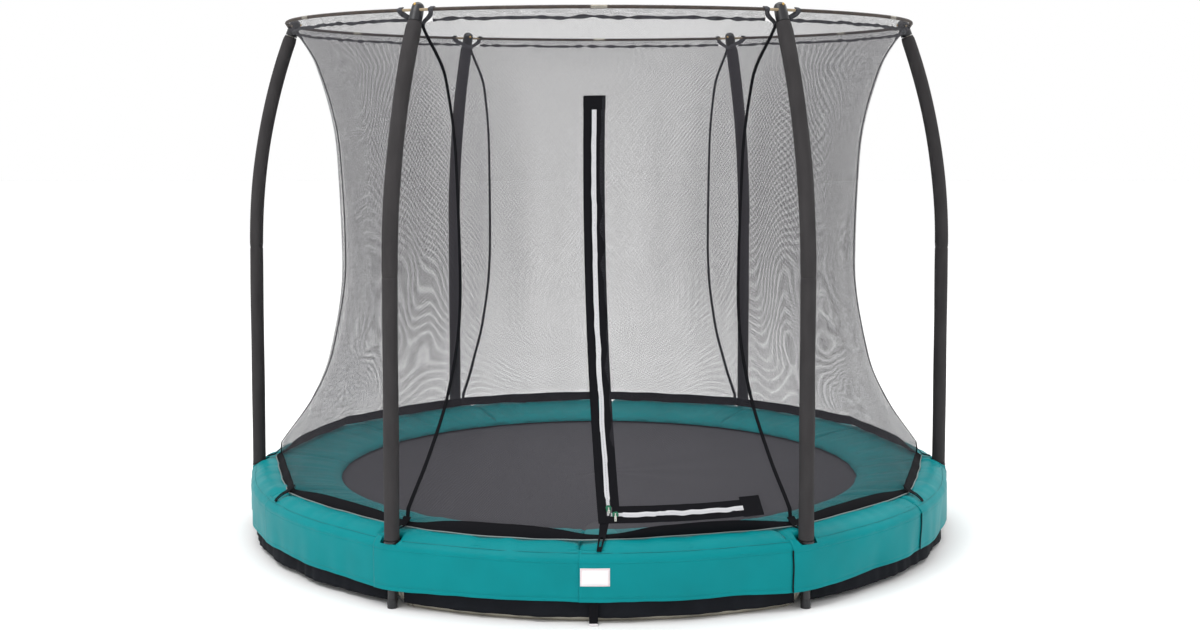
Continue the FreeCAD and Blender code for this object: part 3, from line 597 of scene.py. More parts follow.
# zip tapes: fixed side and door side, with the stop patches
p = both_sides_strip("t", zp, (-26, S_TOP + 2), 90, -34, -7.0, 2.0, web_m, "black_webbing", ripple=0.6, seed=2)
q = both_sides_strip("t", hp, (H0 - 1.2, 22.4), 50, -27, -6.6, 2.0, web_m, "black_webbing", ripple=0.6, seed=3)
p.add(np.concatenate(q.V), q.F)
q = both_sides_strip("t", zp, (S_TOP + 1, S_TOP + 46), 8, -35, 35, 2.6, web_m, "black_webbing", nw=8)
p.add(np.concatenate(q.V), q.F)
q = both_sides_strip("t", hp, (22.1, 25.5), 8, -29, 36, 2.6, web_m, "black_webbing", nw=8)
p.add(np.concatenate(q.V), q.F)
tape_f = fix_normals(p.make("zip_tape_fixed_cloth", web_m, slot="black_webbing", angle=40))
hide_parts("zip_tape_fixed")
p = both_sides_strip("t", zp, (24, S_TOP + 0.7), 90, 7.0, 34, 2.0, web_m, "black_webbing", ripple=0.6, seed=4)
q = both_sides_strip("t", hp, (H0 + 0.5, 22.06), 50, 6.6, 27, 2.0, web_m, "black_webbing", ripple=0.6, seed=5)
p.add(np.concatenate(q.V), q.F)
tape_d = fix_normals(p.make("zip_tape_door_cloth", web_m, body=None, slot="black_webbing", angle=40))
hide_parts("zip_tape_door")
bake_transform(tape_d)


def chain(side, name, node, body):
    """White zip chain, one half: a flat woven edge with a row of moulded coil turns."""
    p = Pile()
    g = np.random.default_rng(11 + side)
    kn = np.linspace(0, S_TOP, 30)
    wob_v = g.normal(0, 0.0, 30)
    shared = np.random.default_rng(5)
    sway_v, sway_h = shared.normal(0, 1.3, 34), shared.normal(0, 1.5, 16)

    def vz(s, w, out):
        return zp(s, w + np.interp(s, np.linspace(24, S_TOP, 34), sway_v) * smooth((s - 30) / 60), out)

    def hz(f, w, out):
        return hp(f, w + np.interp(f, np.linspace(H0, 22.3, 16), sway_h) * smooth((f - H0 - 1.2) / 2), out)
    for fn, lo, hi, n, step in ((vz, 26 if side > 0 else -3, S_TOP, 150, 5.2), (hz, H0 + 0.35, 22.3, 80, 0.255)):
        t = np.linspace(lo, hi, n)
        secs = []
        for ti in t:
            half = 7.2 if fn(ti, 0, 0)[2] > 350 or fn is hz and ti > H0 + 2 else 4.6
            a, b = (0.5, half) if side > 0 else (-half, -0.5)
            secs.append([fn(ti, w, o) for w, o in ((a, 0.2), (b, 0.2), (b, 1.6), ((a + b) / 2, 1.9), (a, 1.6))])
        p.loops(np.array(secs))
        for k, ti in enumerate(np.arange(lo + step * (0.25 if side > 0 else 0.75), hi - step * 0.3, step)):
            a, b = (-0.4, 4.4) if side > 0 else (-4.4, 0.4)
            sec = []
            for tt in (ti - step * 0.2, ti + step * 0.2):
                sec.append([fn(tt, w, o) for w, o in ((a, 1.2), (b, 1.2), (b, 3.0), (a, 3.4))])
            p.loops(np.array(sec))
    o = p.make(name, coil_m, body=body, slot="zip_coil", angle=35)
    fix_normals(o)
    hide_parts(node)
    return o


chain_f = chain(-1, "zip_chain_fixed_coil", "zip_chain_fixed", "frame")
chain_d = chain(1, "zip_chain_door_coil", "zip_chain_door", None)
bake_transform(chain_d)

def housing(name, fn, body, slotted):
    """Enamelled wings of a slider, rounded, over the chain."""
    p = Pile()
    for o1, o2, k in ((3.5, 5.4, 1.0), (-3.0, -1.4, 0.9)):
        secs = []
        for t in np.linspace(-1, 1, 9):
            wd = 8.6 * k * math.sqrt(max(0.05, 1 - 0.75 * abs(t) ** 3)) * (1.0 if t > 0 else 0.9)
            secs.append([fn(t, w, o) for w, o in ((-wd, o1), (wd, o1), (wd, (o1 + o2) / 2), (wd * 0.8, o2), (-wd * 0.8, o2), (-wd, (o1 + o2) / 2))])
        p.loops(np.array(secs))
    o = fix_normals(p.make(name, green_m, body=body, slot="green_enamel", angle=40))
    return o


housing("slider_wings_vertical", lambda t, w, o: zp(19 + 9.5 * t, w, o), "slider_vertical", True)
housing("slider_wings_horizontal", lambda t, w, o: hp(H0 + 0.95 + 0.46 * t, w, o), "slider_horizontal", True)

# ---------------------------------------------------------------- top hem, its dark edge and the V webbing
p_hem, p_edge = Pile(), Pile()
hem_uv = []
ripple = Noise(21, 60, 150)
ripple2 = Noise(22, 20, 60)
for a0 in POLES:
    aa = np.linspace(a0 + 2.5, a0 + 57.5, 150)
    endf = smooth(np.minimum(aa - a0 - 2.5, a0 + 57.5 - aa) / 1.5)
    prof = []
    low_r, low_z = 1112.0, 1817.0
    rod_c = (1136.0, 1848.0)
    # outer layer up, round the rod, inner layer down
    outer = [(low_r + (1142.5 - low_r) * t + 3.0 * math.sin(math.pi * t), low_z + (1846.0 - low_z) * t) for t in np.linspace(0, 1, 8)]
    turn = [(rod_c[0] + 6.4 * math.cos(b), rod_c[1] + 6.4 * math.sin(b)) for b in np.radians([10, 45, 80, 115, 150, 185])]
    inner = [(1129.5 + (low_r - 2 - 1129.5) * t - 4.0 * math.sin(math.pi * t), 1846.0 + (low_z - 1846.0) * t) for t in np.linspace(0, 1, 8)]
    prof = np.array(outer + turn + inner)
    arc = np.concatenate([[0], np.cumsum(np.hypot(*np.diff(prof, axis=0).T))])
    sag = smooth((1850 - prof[:, 1]) / 34)[None] * (2.2 * ripple(aa, 0)[:, None] + 1.5 * ripple2(aa, 1)[:, None]) * endf[:, None]
    side_ = np.where(np.arange(len(prof)) < 10, 1.0, -0.6)[None]
    R = prof[:, 0][None] + sag * side_ * 0.7
    Z = prof[:, 1][None] + np.abs(sag) * 0.0 + 0 * aa[:, None] - smooth((1832 - prof[:, 1]) / 18)[None] * (1.0 * ripple2(aa, 2)[:, None])
    P = pol(R, aa[:, None], Z)
    p_hem.grid(P)
    hem_uv.append(np.stack([np.broadcast_to(rad(aa)[:, None] * 1110, R.shape), np.broadcast_to(arc[None], R.shape)], -1).reshape(-1, 2))
    # dark stitched edge along the bottom of the hem
    zc_ = low_z + 1.0 - 1.0 * ripple2(aa, 2)
    rc_ = low_r + 0.7 * (2.2 * ripple(aa, 0) + 1.5 * ripple2(aa, 1)) * endf * 0.6
    h = 4.8 + 1.1 * ripple(aa, 3)
    secs = np.stack([pol(rc_ - 2.2, aa, zc_ - h), pol(rc_ + 2.4, aa, zc_ - h * 0.9), pol(rc_ + 4.6, aa, zc_ + h * 0.6), pol(rc_ + 3.2, aa, zc_ + h), pol(rc_ - 1.0, aa, zc_ + h * 0.4)], 1)
    p_edge.loops(secs)
    # bound ends and V straps down to the tie
    for e, sgn in ((a0 + 2.5, 1), (a0 + 57.5, -1)):
        ap = a0 if sgn > 0 else a0 + 60
        q = [(e + 0.55 * sgn, 1130, 1856.5), (e + 0.5 * sgn, 1143.5, 1849), (e + 0.2 * sgn, 1133, 1836), ((e + ap) / 2 + 0.35 * sgn, 1118, 1822), (ap + 0.35 * sgn, 1105, 1810), (ap, 1098, 1800)]
        pts = np.array([pol(r, a, z) for a, r, z in q])
        t = np.linspace(0, 1, len(pts))
        tt = np.linspace(0, 1, 16)
        path = np.stack([pchip(t, pts[:, i] + 1e-6 * np.arange(len(pts)))(tt) for i in range(3)], -1)
        mid = np.array([math.cos(math.radians(ap)), math.sin(math.radians(ap)), 0.0])
        tan = np.gradient(path, axis=0)
        tan /= np.linalg.norm(tan, axis=1)[:, None]
        sd = np.cross(tan, mid)
        sd /= np.linalg.norm(sd, axis=1)[:, None]
        nn = np.cross(sd, tan)
        w_ = np.interp(tt, [0, 0.35, 0.6, 1], [17, 20, 15, 12])
        p_edge.loops(ribbon_sections(path, sd, nn, w_, 3.4))
p_rod = Pile()
for a0 in POLES:
    aa = np.linspace(a0 + 2.9, a0 + 57.1, 110)
    path = pol(1136.0, aa, 1848.0)
    p_rod.loops(tube_sections(path, 5.5, 10))
rod_cover = fix_normals(p_rod.make("rod_cover", Mat("rod_cover_dark", srgb(74, 62, 50), 0.7).mottle(40, 0.35, 3).m, slot="black_webbing"))
hem = p_hem.make("hem_cloth", net_m, slot="net_mesh", uv=np.concatenate(hem_uv))
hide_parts("net_top_hem")
hem_edge = fix_normals(p_edge.make("hem_edging", edge_m, slot="black_webbing", angle=50))

# ---------------------------------------------------------------- seam webbing down the net at the poles, ties
p = Pile()
for a0 in POLES:
    z = np.linspace(1804, 250, 74)
    r = net_r(a0, z) + 2.4
    side = {60: 1.2, 120: -1.2, 240: 1.9, 300: -1.9}.get(int(round(a0)) % 360, 0.0)
    drift = 0.3 * np.sin((z - 300) / 480.0 + a0) * smooth((1780 - z) / 200) * smooth((z - 300) / 200)
    drift = drift + side * smooth((1785 - z) / 150) * smooth((z - 420) / 420)
    path = pol(r, a0 + drift, z)
    tan = np.gradient(path, axis=0)
    tan /= np.linalg.norm(tan, axis=1)[:, None]
    out = pol(1, a0, 0)[None]
    sd = np.cross(tan, np.broadcast_to(out, tan.shape))
    sd /= np.linalg.norm(sd, axis=1)[:, None]
    p.loops(ribbon_sections(path, sd, np.cross(sd, tan), np.interp(z, [250, 700, 1500, 1800], [14, 11, 10, 12]), 3.0))
seam = fix_normals(p.make("seam_webbing_cloth", web_m, slot="black_webbing", angle=50))
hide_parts("seam_webbing")

# ---------------------------------------------------------------- border band, piping (its light grey partly a painted highlight of the pad's crest) and tie straps
n_b = Noise(31, 12, 60)
ab = np.arange(0, 360, 0.5)
kb = band_k(ab)
c2 = corner(ab, 3.0)
d_mid = np.abs((ab % 30) - 15) / 15
z_lo = 238.7 + (0.9 * n_b(ab, 0) - 0.2) * (1 - c2)
z_hi = band_top(ab) + 0.6 * n_b(ab, 2)
r_lo = 1211.0 * kb + 1.0 * n_b(ab, 1)
r_hi = net_r(ab, z_hi) + 1.5
secs = []
for t_ in np.linspace(0, 1, 6):
    bulge = 3.0 * math.sin(math.pi * t_)
    secs.append(pol(r_lo + (r_hi - r_lo) * t_ + bulge + 1.6, ab, z_lo + (z_hi - z_lo) * t_))
for t_ in np.linspace(1, 0, 6):
    bulge = 2.0 * math.sin(math.pi * t_)
    secs.append(pol(r_lo + (r_hi - r_lo) * t_ + bulge - 1.4, ab, z_lo + (z_hi - z_lo) * t_))
S = np.stack(secs, 1)
band = add_mesh("border_band", S, grid_faces(len(ab), 12, wrap_u=True, wrap_v=True), web_m, slot="black_webbing", angle=50)
fix_normals(band)
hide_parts("net_border")
# The piping runs under the band's lower edge: a real cord whose light grey is partly a painted highlight of the pad's
# crest.
back_b = smooth(np.minimum(ab, 180 - ab) / 14.0)
path = pol(r_lo + 4.4, ab, z_lo + 0.8 + 1.8 * c2 + 4.0 * back_b)
T_ = np.linspace(0, 2 * np.pi, 7)[:-1]
er = pol(1, ab, 0)
S = path[:, None] + 2.3 * (np.cos(T_)[None, :, None] * er[:, None] + np.sin(T_)[None, :, None] * np.array([0, 0, 1.0]))
crest_highlight_piping = fix_normals(add_mesh("border_piping_with_painted_highlight", S, grid_faces(len(ab), 6, wrap_u=True, wrap_v=True), crest_highlight_piping_m, slot="teal_pvc_pad"))

p = Pile()
for k in range(12):
    a0 = 30.0 * k
    pole = k % 2 == 0
    if pole:
        q = [(1184, 294), (1194, 279), (1207, 259), (1219, 247), (1232, 243), (1249, 240)]
    else:
        q = [(1184, 294), (1194, 279), (1208, 259), (1222, 248), (1238, 241.5), (1252, 233), (1262, 225), (1266, 219)]
    if k == 9:
        q[0] = (1177, 305)
    else:
        q = q[1:]
        q[0] = (1199, 268)
    q = np.array(q, float)
    arc = np.concatenate([[0], np.cumsum(np.hypot(*np.diff(q, axis=0).T))])
    fr, fz = pchip(arc, q[:, 0]), pchip(arc, q[:, 1])
    s = np.linspace(0, arc[-1], 26)
    da = 0.25 * np.sin(k * 2.1) * s / arc[-1] if k != 9 else 0.95 * (1 - s / arc[-1])
    path = pol(fr(s) + 0.0, a0 + da, fz(s))
    tan = np.gradient(path, axis=0)
    tan /= np.linalg.norm(tan, axis=1)[:, None]
    sd = np.broadcast_to(pol(1, a0 + 90, 0), tan.shape)
    nn = np.cross(tan, sd)
    wd = np.interp(s / arc[-1], [0, 0.25, 0.55, 1], [29, 27, 22, 15])
    i1, i2 = (14, 23) if not pole else (13, 23)
    p.loops(ribbon_sections(path[: i1 + 1], sd[: i1 + 1], nn[: i1 + 1], wd[: i1 + 1], 3.0))
    p.loops(ribbon_sections(path[i2 - 1:], sd[i2 - 1:], nn[i2 - 1:], wd[i2 - 1:], 3.0))
    for sgn in (-1, 1):
        pp = path[i1 - 1: i2 + 1] + sd[i1 - 1: i2 + 1] * (sgn * wd[i1 - 1: i2 + 1] * 0.34)[:, None]
        p.loops(ribbon_sections(pp, sd[i1 - 1: i2 + 1], nn[i1 - 1: i2 + 1], wd[i1 - 1: i2 + 1] * 0.31, 2.8))
straps = fix_normals(p.make("tie_strap_webbing", web_m, slot="black_webbing", angle=50))
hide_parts("tie_straps")

# ---------------------------------------------------------------- frame pads: crowned cushions in six sections
def edge_in(a):
    """How far the pads' outer edge is drawn in between the poles."""
    d = np.abs((np.asarray(a, float) + 30) % 60 - 30)
    return 18.0 * (1 - np.exp(-(d / 5.5) ** 2))


top_z = pchip([957, 959, 964, 975, 995, 1030, 1080, 1140, 1200, 1240, 1265, 1283, 1294, 1300],
              [192, 198, 204, 210, 216, 222, 229, 235.5, 238.0, 234.5, 227, 215, 204, 196])
bot_z = pchip([957, 1000, 1036, 1058, 1100, 1200, 1258, 1280, 1292, 1300], [188, 185.5, 187, 197, 200, 206.5, 206.5, 201, 195, 191])
n_p1, n_p2, n_p3 = Noise(41, 20, 55), Noise(42, 60, 140, 18), Noise(43, 150, 300, 20)


def pad_top(r, a):
    """Height of the cushions' top at a radius and angle."""
    r, a = np.broadcast_arrays(np.asarray(r, float), np.asarray(a, float))
    d = np.abs((a - JOINT_A0 + 15) % 30 - 15) * 22.0      # mm from the radial seam
    seam = np.exp(-(d / 7.0) ** 2)
    near = np.exp(-(d / 60.0) ** 2)
    rp = r + edge_in(a) * smooth((r - 1150) / 110)
    mid = smooth((rp - 957) / 60) * smooth((1303 - rp) / 50)
    z = top_z(rp) + mid * (1.6 * n_p1(a, r / 90) + 0.7 * n_p2(a, r / 60) + 2.6 * (1 - near) - 7.5 * seam + near * 1.2 * n_p2(a, r / 25))
    # pulled down where the net's border presses on it, most at the straps
    press = np.exp(-((r - 1209 * band_k(a)) / 16.0) ** 2)
    z = z - 3.6 * press
    ang = np.abs((a + 15) % 30 - 15) * 21.5
    z = z - 3.0 * np.exp(-(ang / 26.0) ** 2) * smooth((r - 1205) / 40) * smooth((1310 - r) / 30)
    z = np.where(r > 1150, np.minimum(z, 239.5), z)
    return z


for k in range(6):
    a1 = JOINT_A0 + 60 * k + 0.025
    a2 = a1 + 60 - 0.05
    ap = 60.0 * (round((a1 + 30) / 60.0))
    base = np.linspace(a1, a2, 150)
    extra = np.concatenate([ap + np.linspace(-2.4, 2.4, 28), np.linspace(a1 + 29.2, a1 + 30.7, 12)])
    aa = np.unique(np.round(np.concatenate([base, extra, [a1 + 0.1, a1 + 0.25, a2 - 0.1, a2 - 0.25]]), 4))
    sdist = np.abs(aa - ap) * math.pi / 180 * 1280
    outer = 1300.0 - edge_in(aa) - 49.0 * (1 - smooth((sdist - 29.5) / 7.0))
    endr = smooth(np.minimum(aa - a1, a2 - aa) / 0.35)
    u = np.concatenate([[0, 0.002, 0.006, 0.014, 0.03, 0.055], np.linspace(0.09, 0.93, 34), [0.955, 0.975, 0.988, 0.996, 1.0]])
    RR = 957.0 + (outer[:, None] - 957.0) * u[None]
    RR = RR + 1.2 * n_p1(aa, 3)[:, None] * (1 - smooth(u * 8))[None]
    full = smooth((outer[:, None] - RR + 2.0) / 9.0)
    ZT = pad_top(RR, aa[:, None])
    RP = RR + edge_in(aa)[:, None] * smooth((RR - 1225) / 40)
    ZB = bot_z(RP) + 0 * aa[:, None]
    mid = (ZT + ZB) / 2
    close = 0.25 + 0.75 * np.minimum(full, 1)
    fat = (0.8 + 0.2 * endr)[:, None] * close
    notch = (outer < 1290)[:, None] * 1.0
    ZT = mid + (ZT - mid) * fat
    ZB = mid + (ZB - mid) * fat
    ZB = np.maximum(ZB, bot_z(RP) - 0.0)
    ub = slice(None, None, -1)
    P = np.concatenate([pol(RR, aa[:, None], ZT), pol(RR, aa[:, None], ZB)[:, ub][:, 1:-1]], 1)
    pile = Pile()
    pile.loops(P)
    o = fix_normals(pile.make(f"pad_cushion_{k + 1}", teal_m, slot="teal_pvc_pad", angle=60))
    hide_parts(f"pad_section_{k + 1}")

# radial seam cords on the cushions
p = Pile()
for k in range(12):
    a0 = JOINT_A0 + 30 * k
    if k % 2 == 0:
        continue
    r = np.linspace(962, 1254, 40)
    z = pad_top(r, a0) + 0.6
    path = pol(r, a0, z)
    p.loops(tube_sections(path, 1.5, 6))
seams = fix_normals(p.make("pad_seam_cords", stitch_m, slot="teal_pvc_pad"))

# flaps: twelve hanging strips that lap at each joint
n_f1, n_f2 = Noise(51, 8, 30), Noise(52, 40, 110, 18)

def flap_low(a):
    d = np.abs((np.asarray(a, float) + 30) % 60 - 30)
    return 68.0 - 9.0 * np.exp(-(d / 9.0) ** 2)



def flap_r(a, z):
    t = smooth((205 - z) / 130.0)
    d = np.abs((np.asarray(a, float) + 30) % 60 - 30)
    lean = -4.0 * (1 - np.exp(-(d / 6.5) ** 2)) * t
    return 1300.8 - edge_in(a) + lean + t * (2.3 * n_f1(a, z / 160) + 0.8 * n_f2(a, z / 60)) * (1 - 0.6 * np.exp(-(d / 3.0) ** 2)) + 0.5 * n_f2(a, z / 25) * smooth((z - 150) / 40)


p_stitch, p_joint_lines = Pile(), Pile()
for k in range(12):
    a1 = JOINT_A0 + 30 * k
    a2 = a1 + 30 + 1.15
    aa = np.linspace(a1, a2, 96)
    zz = np.array([75, 76.5, 79, 83, 83.9, 84.8, 92, 104, 118, 132, 146, 158, 168, 175, 181,
                   184.5, 185.5, 186.5, 190, 194, 198, 202, 206, 210, 214, 218, 221.5])
    A_, Z_ = np.meshgrid(aa, zz, indexing="ij")
    Z0 = Z_.copy()
    Z_ = np.where(Z_ < 118, 118 - (118 - Z_) * (118 - flap_low(A_)) / 43.0, Z_)
    lap = 2.6 * (1 - smooth((A_ - a1) / 6.0)) - 0.6 * smooth((A_ - a2 + 1.6) / 1.0)
    R_ = flap_r(A_, np.minimum(Z_, 194)) + lap
    # the upper edge rolls in over the cushion's shoulder and is sewn there
    roll = np.clip((Z_ - 190) / 31.5, 0, 1)
    R_ = R_ - 27.0 * roll ** 1.9
    # sewn lines
    R_ = R_ - 0.9 * (np.abs(Z0 - 185.5) < 0.6) - 0.8 * (np.abs(Z0 - 83.9) < 0.5)
    ap = 60.0 * np.round(A_ / 60.0)
    sd = np.abs(A_ - ap) * math.pi / 180 * 1290
    cut = 1 - smooth((sd - 30.0) / 8.0)
    zlim = 221.5 + (205.0 - 221.5) * cut
    over = Z_ > 187
    frac = np.where(over, (Z_ - 187) / (221.5 - 187), 0)
    Z_ = np.where(over, 187 + frac * (zlim - 187), Z_)
    R_ = np.where(over & (cut > 0.0), R_ + cut * 27.0 * roll ** 1.9, R_)
    Z_ = Z_ + 0.8 * n_f1(A_, 5) * smooth((140 - Z_) / 60)
    P = pol(R_, A_, Z_)
    keep = np.where((sd[:, -1] > 40.0) & (aa > a1 + 0.2) & (aa < a2 - 1.3))[0]
    for run in np.split(keep, np.where(np.diff(keep) > 1)[0] + 1):
        if len(run) > 4:
            p_stitch.loops(tube_sections(P[run, -3] + pol(1, aa[run], 0) * 0.9 + np.array([0, 0, 0.6]), 0.6, 6))
    # Two flap joints get a thin black strip along the lapped edge, which draws a dark line at the joint.
    if k in (1, 2):
        ze = np.linspace(flap_low(a1) + 1.0, 192.0, 40)
        ra = a1 - 0.02 + 0.05 * np.sin(ze / 17.0)
        pe = pol(flap_r(a1, np.minimum(ze, 194)) + 3.4, ra, ze)
        te = np.gradient(pe, axis=0)
        te /= np.linalg.norm(te, axis=1)[:, None]
        oe = np.broadcast_to(pol(1, a1, 0), te.shape)
        se = np.cross(te, oe)
        se /= np.linalg.norm(se, axis=1)[:, None]
        p_joint_lines.loops(ribbon_sections(pe, se, np.cross(se, te), 5.0, 1.0))
    o = add_mesh(f"pad_flap_{k + 1}", P, grid_faces(*P.shape[:2]), teal_m, slot="teal_pvc_pad")
    fix_normals(o)
    md = o.modifiers.new("cloth_thickness", "SOLIDIFY")
    md.thickness, md.offset = 0.0012, -1

seam_teal = Mat("teal_seam_thread", srgb(0, 110, 115), 0.7).m
stitch = fix_normals(p_stitch.make("pad_edge_stitching", seam_teal, slot="teal_pvc_pad"))
joint_line_strips = fix_normals(p_joint_lines.make("pad_flap_dark_joint_lines", web_m, slot="black_webbing"))

# blank label on the front flap
a_l = 270 + np.linspace(-2.52, 1.46, 12)
z_l = np.linspace(118, 173, 6)
A_, Z_ = np.meshgrid(a_l, z_l, indexing="ij")
lap = 2.6 * (1 - smooth((A_ - JOINT_A0) / 6.0))
Rl = flap_r(A_, Z_) + lap + 1.0
Rl = np.maximum(Rl, Rl.mean(axis=1, keepdims=True) - 0.2)
P = pol(Rl, A_, Z_)
label = add_mesh("blank_label", P, grid_faces(*P.shape[:2]), label_m, slot="white_label")
fix_normals(label)
md = label.modifiers.new("cloth_thickness", "SOLIDIFY")
md.thickness, md.offset = 0.0008, 0
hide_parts("pad_label")
pl = Pile()
for line in ([(a, 120.2) for a in np.linspace(a_l[0] + 0.1, a_l[-1] - 0.1, 14)], [(a, 170.8) for a in np.linspace(a_l[0] + 0.1, a_l[-1] - 0.1, 14)],
             [(a_l[0] + 0.1, z) for z in np.linspace(120.2, 170.8, 8)], [(a_l[-1] - 0.1, z) for z in np.linspace(120.2, 170.8, 8)]):
    aa_, zz_ = np.array(line).T
    rr_ = flap_r(aa_, zz_) + 2.6 * (1 - smooth((aa_ - JOINT_A0) / 6.0)) + 1.9
    pl.loops(tube_sections(pol(rr_, aa_, zz_), 0.6, 5, up=(0.1, -1, 0.05)))
lab_st = fix_normals(pl.make("label_stitching", label_edge_m, slot="white_label"))

# ---------------------------------------------------------------- skirt and the strap in front
n_s1, n_s2 = Noise(61, 10, 36), Noise(62, 60, 160, 20)
p = Pile()
for a0 in POLES:
    aa = np.linspace(a0 + 1.45, a0 + 58.55, 170)
    zz = np.linspace(16.5, 203, 16)
    A_, Z_ = np.meshgrid(aa, zz, indexing="ij")
    fr_ = smooth((200 - Z_) / 150) * smooth(np.minimum(A_ - a0 - 1.45, a0 + 58.55 - A_) / 3)
    low = 1 - smooth((Z_ - 16) / 60)
    R_ = 1262.5 + fr_ * (2.4 * n_s1(A_, Z_ / 220) + 1.1 * n_s2(A_, Z_ / 140)) + low * 1.0
    p.grid(pol(R_, A_, Z_))
skirt = fix_normals(p.make("skirt_cloth", skirt_m, slot="skirt_fabric"))
md = skirt.modifiers.new("cloth_thickness", "SOLIDIFY")
md.thickness, md.offset = 0.0012, 0
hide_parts("frame_skirt")

q = np.array([(1270.5, 180), (1271.0, 120), (1272, 60), (1273.5, 30), (1277, 12), (1284, 5), (1293, 3.2)], float)
arc = np.concatenate([[0], np.cumsum(np.hypot(*np.diff(q, axis=0).T))])
s = np.linspace(0, arc[-1], 30)
rr_, zz_ = pchip(arc, q[:, 0])(s), pchip(arc, q[:, 1] * -1)(s) * -1
path = np.stack([np.full(30, -16.5) + 0.8 * np.sin(s / 60), -rr_, zz_], -1)
tan = np.gradient(path, axis=0)
tan /= np.linalg.norm(tan, axis=1)[:, None]
sd = np.broadcast_to(np.array([1.0, 0, 0]), tan.shape)
nn = np.cross(tan, sd)
p = Pile()
p.loops(ribbon_sections(path[:29], sd[:29], nn[:29], 27, 2.4))
strap = fix_normals(p.make("front_strap", web_m, slot="black_webbing", angle=50))
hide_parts("pad_strap")
p = Pile()
p.loops(ribbon_sections(path[28:], sd[28:], nn[28:], 26.4, 3.0))
strap_end = fix_normals(p.make("front_strap_end", label_m, slot="white_label", angle=50))

# ---------------------------------------------------------------- jumping mat with its bound edge
n_m = Noise(71, 3, 12)
ra = np.concatenate([np.linspace(6, 960, 26), np.linspace(980, 1038, 6)])
aa = np.arange(0, 360, 2.5)
A_, R_ = np.meshgrid(aa, ra, indexing="ij")
k48 = math.cos(math.radians(3.75)) / np.cos(rad((A_ % 7.5) - 3.75))
Z_ = 181.0 + 0.5 * n_m(A_, R_ / 200) * smooth((1000 - R_) / 300) - 1.5 * smooth((700 - R_) / 700)
P = pol(R_ * (1 + (k48 - 1) * smooth((R_ - 700) / 300)), A_, Z_)
V = np.concatenate([P.reshape(-1, 3), [[0, 0, 179.4]]])
F = [tuple(f) for f in grid_faces(len(aa), len(ra), wrap_u=True)]
F += [(len(V) - 1, i * len(ra), ((i + 1) % len(aa)) * len(ra)) for i in range(len(aa))]
mat_cloth = fix_normals(add_mesh("mat_cloth", V, F, weave_m, body="mat", slot="mat_weave"))
md = mat_cloth.modifiers.new("cloth_thickness", "SOLIDIFY")
md.thickness, md.offset = 0.0018, 0
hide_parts("jump_mat")
p = Pile()
k48v = lambda a: math.cos(math.radians(3.75)) / np.cos(rad((a % 7.5) - 3.75))
aa = np.arange(0, 360, 1.25)
for s_ in (1, -1):
    prof = [(1005, 0.9), (1007, 2.0), (1013, 2.2), (1015, 1.5), (1017, 2.2), (1031, 2.2), (1033, 1.5), (1035, 2.2), (1040, 1.6), (1041, 0.2)]
    secs = np.stack([pol(r * k48v(aa), aa, 181 + s_ * (z + 0.2)) for r, z in prof], 1)
    p.grid(secs, wrap_u=True)
bind = fix_normals(p.make("mat_binding_webbing", web_m, body="mat", slot="black_webbing"))
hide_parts("mat_binding")

# ---------------------------------------------------------------- springs: a helix each, with its two hooks
for k in range(48):
    a0 = 7.5 * k + 3.75
    n = 26 * 8
    t = np.linspace(0, 1, n)
    th = 2 * np.pi * 26 * t
    x = 1080 + 114 * t
    taper = 3.0 + 7.4 * smooth(np.minimum(t, 1 - t) / 0.05)
    hx = np.stack([x, taper * np.cos(th), 183 + taper * np.sin(th)], -1)
    head = np.array([[1062, 0, 178.6], [1060.3, 0, 181], [1061.2, 0, 184.5], [1065, 0, 186.5], [1070, 0, 185.8], [1075, 1, 184.3]])
    tail = np.array([[1199, 1, 184.5], [1205, 0, 185.5], [1212, 0, 186.5], [1216, 0, 184.2], [1216.2, 0, 181]])
    line = np.concatenate([head, hx, tail])
    c, s_ = math.cos(math.radians(a0)), math.sin(math.radians(a0))
    line = np.stack([line[:, 0] * c - line[:, 1] * s_, line[:, 0] * s_ + line[:, 1] * c, line[:, 2]], -1)
    p = Pile()
    p.loops(tube_sections(line, 1.35, 5, up=(c * 0.31, s_ * 0.31, 0.95)))
    o = p.make(f"spring_{k + 1:02d}", spring_m, body=None, slot="spring_steel")
    fix_normals(o)
    if k == 0:
        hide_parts("springs")
    tuple(pol(1205, a0, 183) * MM)
    tuple(pol(1070, a0, 183) * MM)
    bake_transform(o)

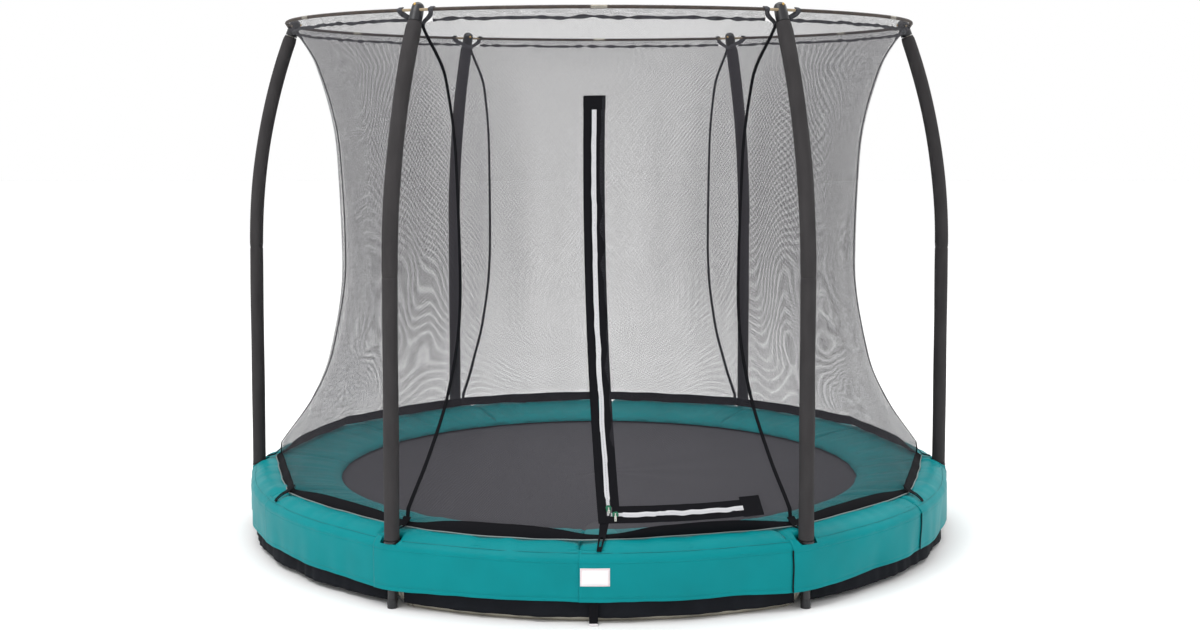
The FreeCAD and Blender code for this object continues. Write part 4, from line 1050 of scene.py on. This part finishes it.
# ---------------------------------------------------------------- foam sleeves
BEND_C, BEND_R = -990.0, 2270.0
n_fs = Noise(81, 1, 9)
for k, a0 in enumerate(POLES):
    zl = np.concatenate([[212, 212.6, 214, 217], np.linspace(224, 1016, 66), [1022, 1025.5, 1027.4]])
    q_end = math.asin((1810 - 1029) / BEND_R)
    qs = np.linspace(0.0004, q_end, 60)
    cr = np.concatenate([np.full(len(zl), 1280.0), BEND_C + BEND_R * np.cos(qs)])
    cz = np.concatenate([zl, 1029 + BEND_R * np.sin(qs)])
    tq = np.concatenate([np.zeros(len(zl)), qs])
    rr_ = np.where(cz < 1028, 24.0, 24.8)
    rr_ = rr_ * 1.0
    rr_[:4] = [19, 22, 23.4, 24.0]
    rr_[len(zl) - 3:len(zl)] = [23.9, 23.4, 22.8]
    rr_[len(zl):len(zl) + 2] = [23.4, 24.6]
    rr_[-2:] = [24.2, 21.5]
    th = np.linspace(0, 2 * np.pi, 32, endpoint=False)
    c, s_ = math.cos(math.radians(a0)), math.sin(math.radians(a0))
    secs = []
    for i in range(len(cr)):
        dent = 0.35 * n_fs(np.degrees(th), cz[i] / 55.0 + k) * (0 if i < 4 or i > len(cr) - 3 else 1)
        seam_ = -0.9 * np.exp(-((np.degrees(th) - 195) / 4.0) ** 2)
        rad_ = rr_[i] + dent + seam_
        lr, lt = rad_ * np.cos(th), rad_ * np.sin(th)
        X = cr[i] + lr * math.cos(tq[i])
        Z = cz[i] + lr * math.sin(tq[i])
        secs.append(np.stack([X * c - lt * s_, X * s_ + lt * c, Z], -1))
    p = Pile()
    p.loops(np.array(secs))
    o = fix_normals(p.make(f"foam_cover_{k + 1}", sleeve_m, slot="foam_sleeve_cover", angle=70))
    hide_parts(f"foam_sleeve_{k + 1}")

# ---------------------------------------------------------------- studio
floor_m = Mat("studio_floor", (0.97, 0.97, 0.97, 1), 1.0, 0.0, 0.0).m
bpy.ops.mesh.primitive_plane_add(size=60, location=(0, 0, -0.0005))
fl = bpy.context.object
fl.name = "studio_floor"
fl.data.materials.append(floor_m)

world = bpy.data.worlds.new("studio")
SC.world = world
world.use_nodes = True
wt = world.node_tree
w_co = wt.nodes.new("ShaderNodeTexCoord")
w_sp = wt.nodes.new("ShaderNodeSeparateXYZ")
w_mr = wt.nodes.new("ShaderNodeMapRange")
w_cr = wt.nodes.new("ShaderNodeValToRGB")
wt.links.new(w_co.outputs["Generated"], w_sp.inputs[0])
w_mr.inputs["From Min"].default_value, w_mr.inputs["From Max"].default_value = -1.0, 1.0
wt.links.new(w_sp.outputs["Z"], w_mr.inputs["Value"])
wt.links.new(w_mr.outputs[0], w_cr.inputs[0])
els = w_cr.color_ramp.elements
els[0].position, els[0].color = 0.47, (1.0, 1.0, 1.0, 1)
els[1].position, els[1].color = 0.5, (1.0, 1.0, 1.0, 1)
for pos, v in ((0.66, 1.0), (0.80, 0.85), (1.0, 1.3)):
    e = els.new(pos)
    e.color = (v, v, v, 1)
wt.links.new(w_cr.outputs[0], wt.nodes["Background"].inputs[0])
wt.nodes["Background"].inputs[1].default_value = 1.0


def area(name, loc, target, size, power):
    d = bpy.data.lights.new(name, "AREA")
    d.size, d.energy = size, power
    o = bpy.data.objects.new(name, d)
    SC.collection.objects.link(o)
    o.location = loc
    o.rotation_euler = (Vector(target) - Vector(loc)).to_track_quat("-Z", "Y").to_euler()
    return o


area("key", (-3.0, -3.5, 6.0), (0, 0, 0.4), 3.0, 150)
area("rim", (4.5, 3.0, 5.0), (0, 0, 0.4), 3.0, 60)
area("top", (0, 0.5, 6.5), (0, 0, 0), 4.0, 120)

cam = bpy.data.cameras.new("camera")
cam.sensor_fit, cam.sensor_width = "HORIZONTAL", 36.0
cam.lens = 1624.0 * 36 / 1200
cam.shift_x, cam.shift_y = 1 / 1200, -0.08
cam.clip_end = 200
co = bpy.data.objects.new("camera", cam)
SC.collection.objects.link(co)
co.location = (0, -6.0498, 1.5331)
co.rotation_euler = (math.radians(90 - 3.784), 0, 0)
SC.camera = co
SC.view_settings.view_transform = "Standard"
SC.view_settings.look = "None"
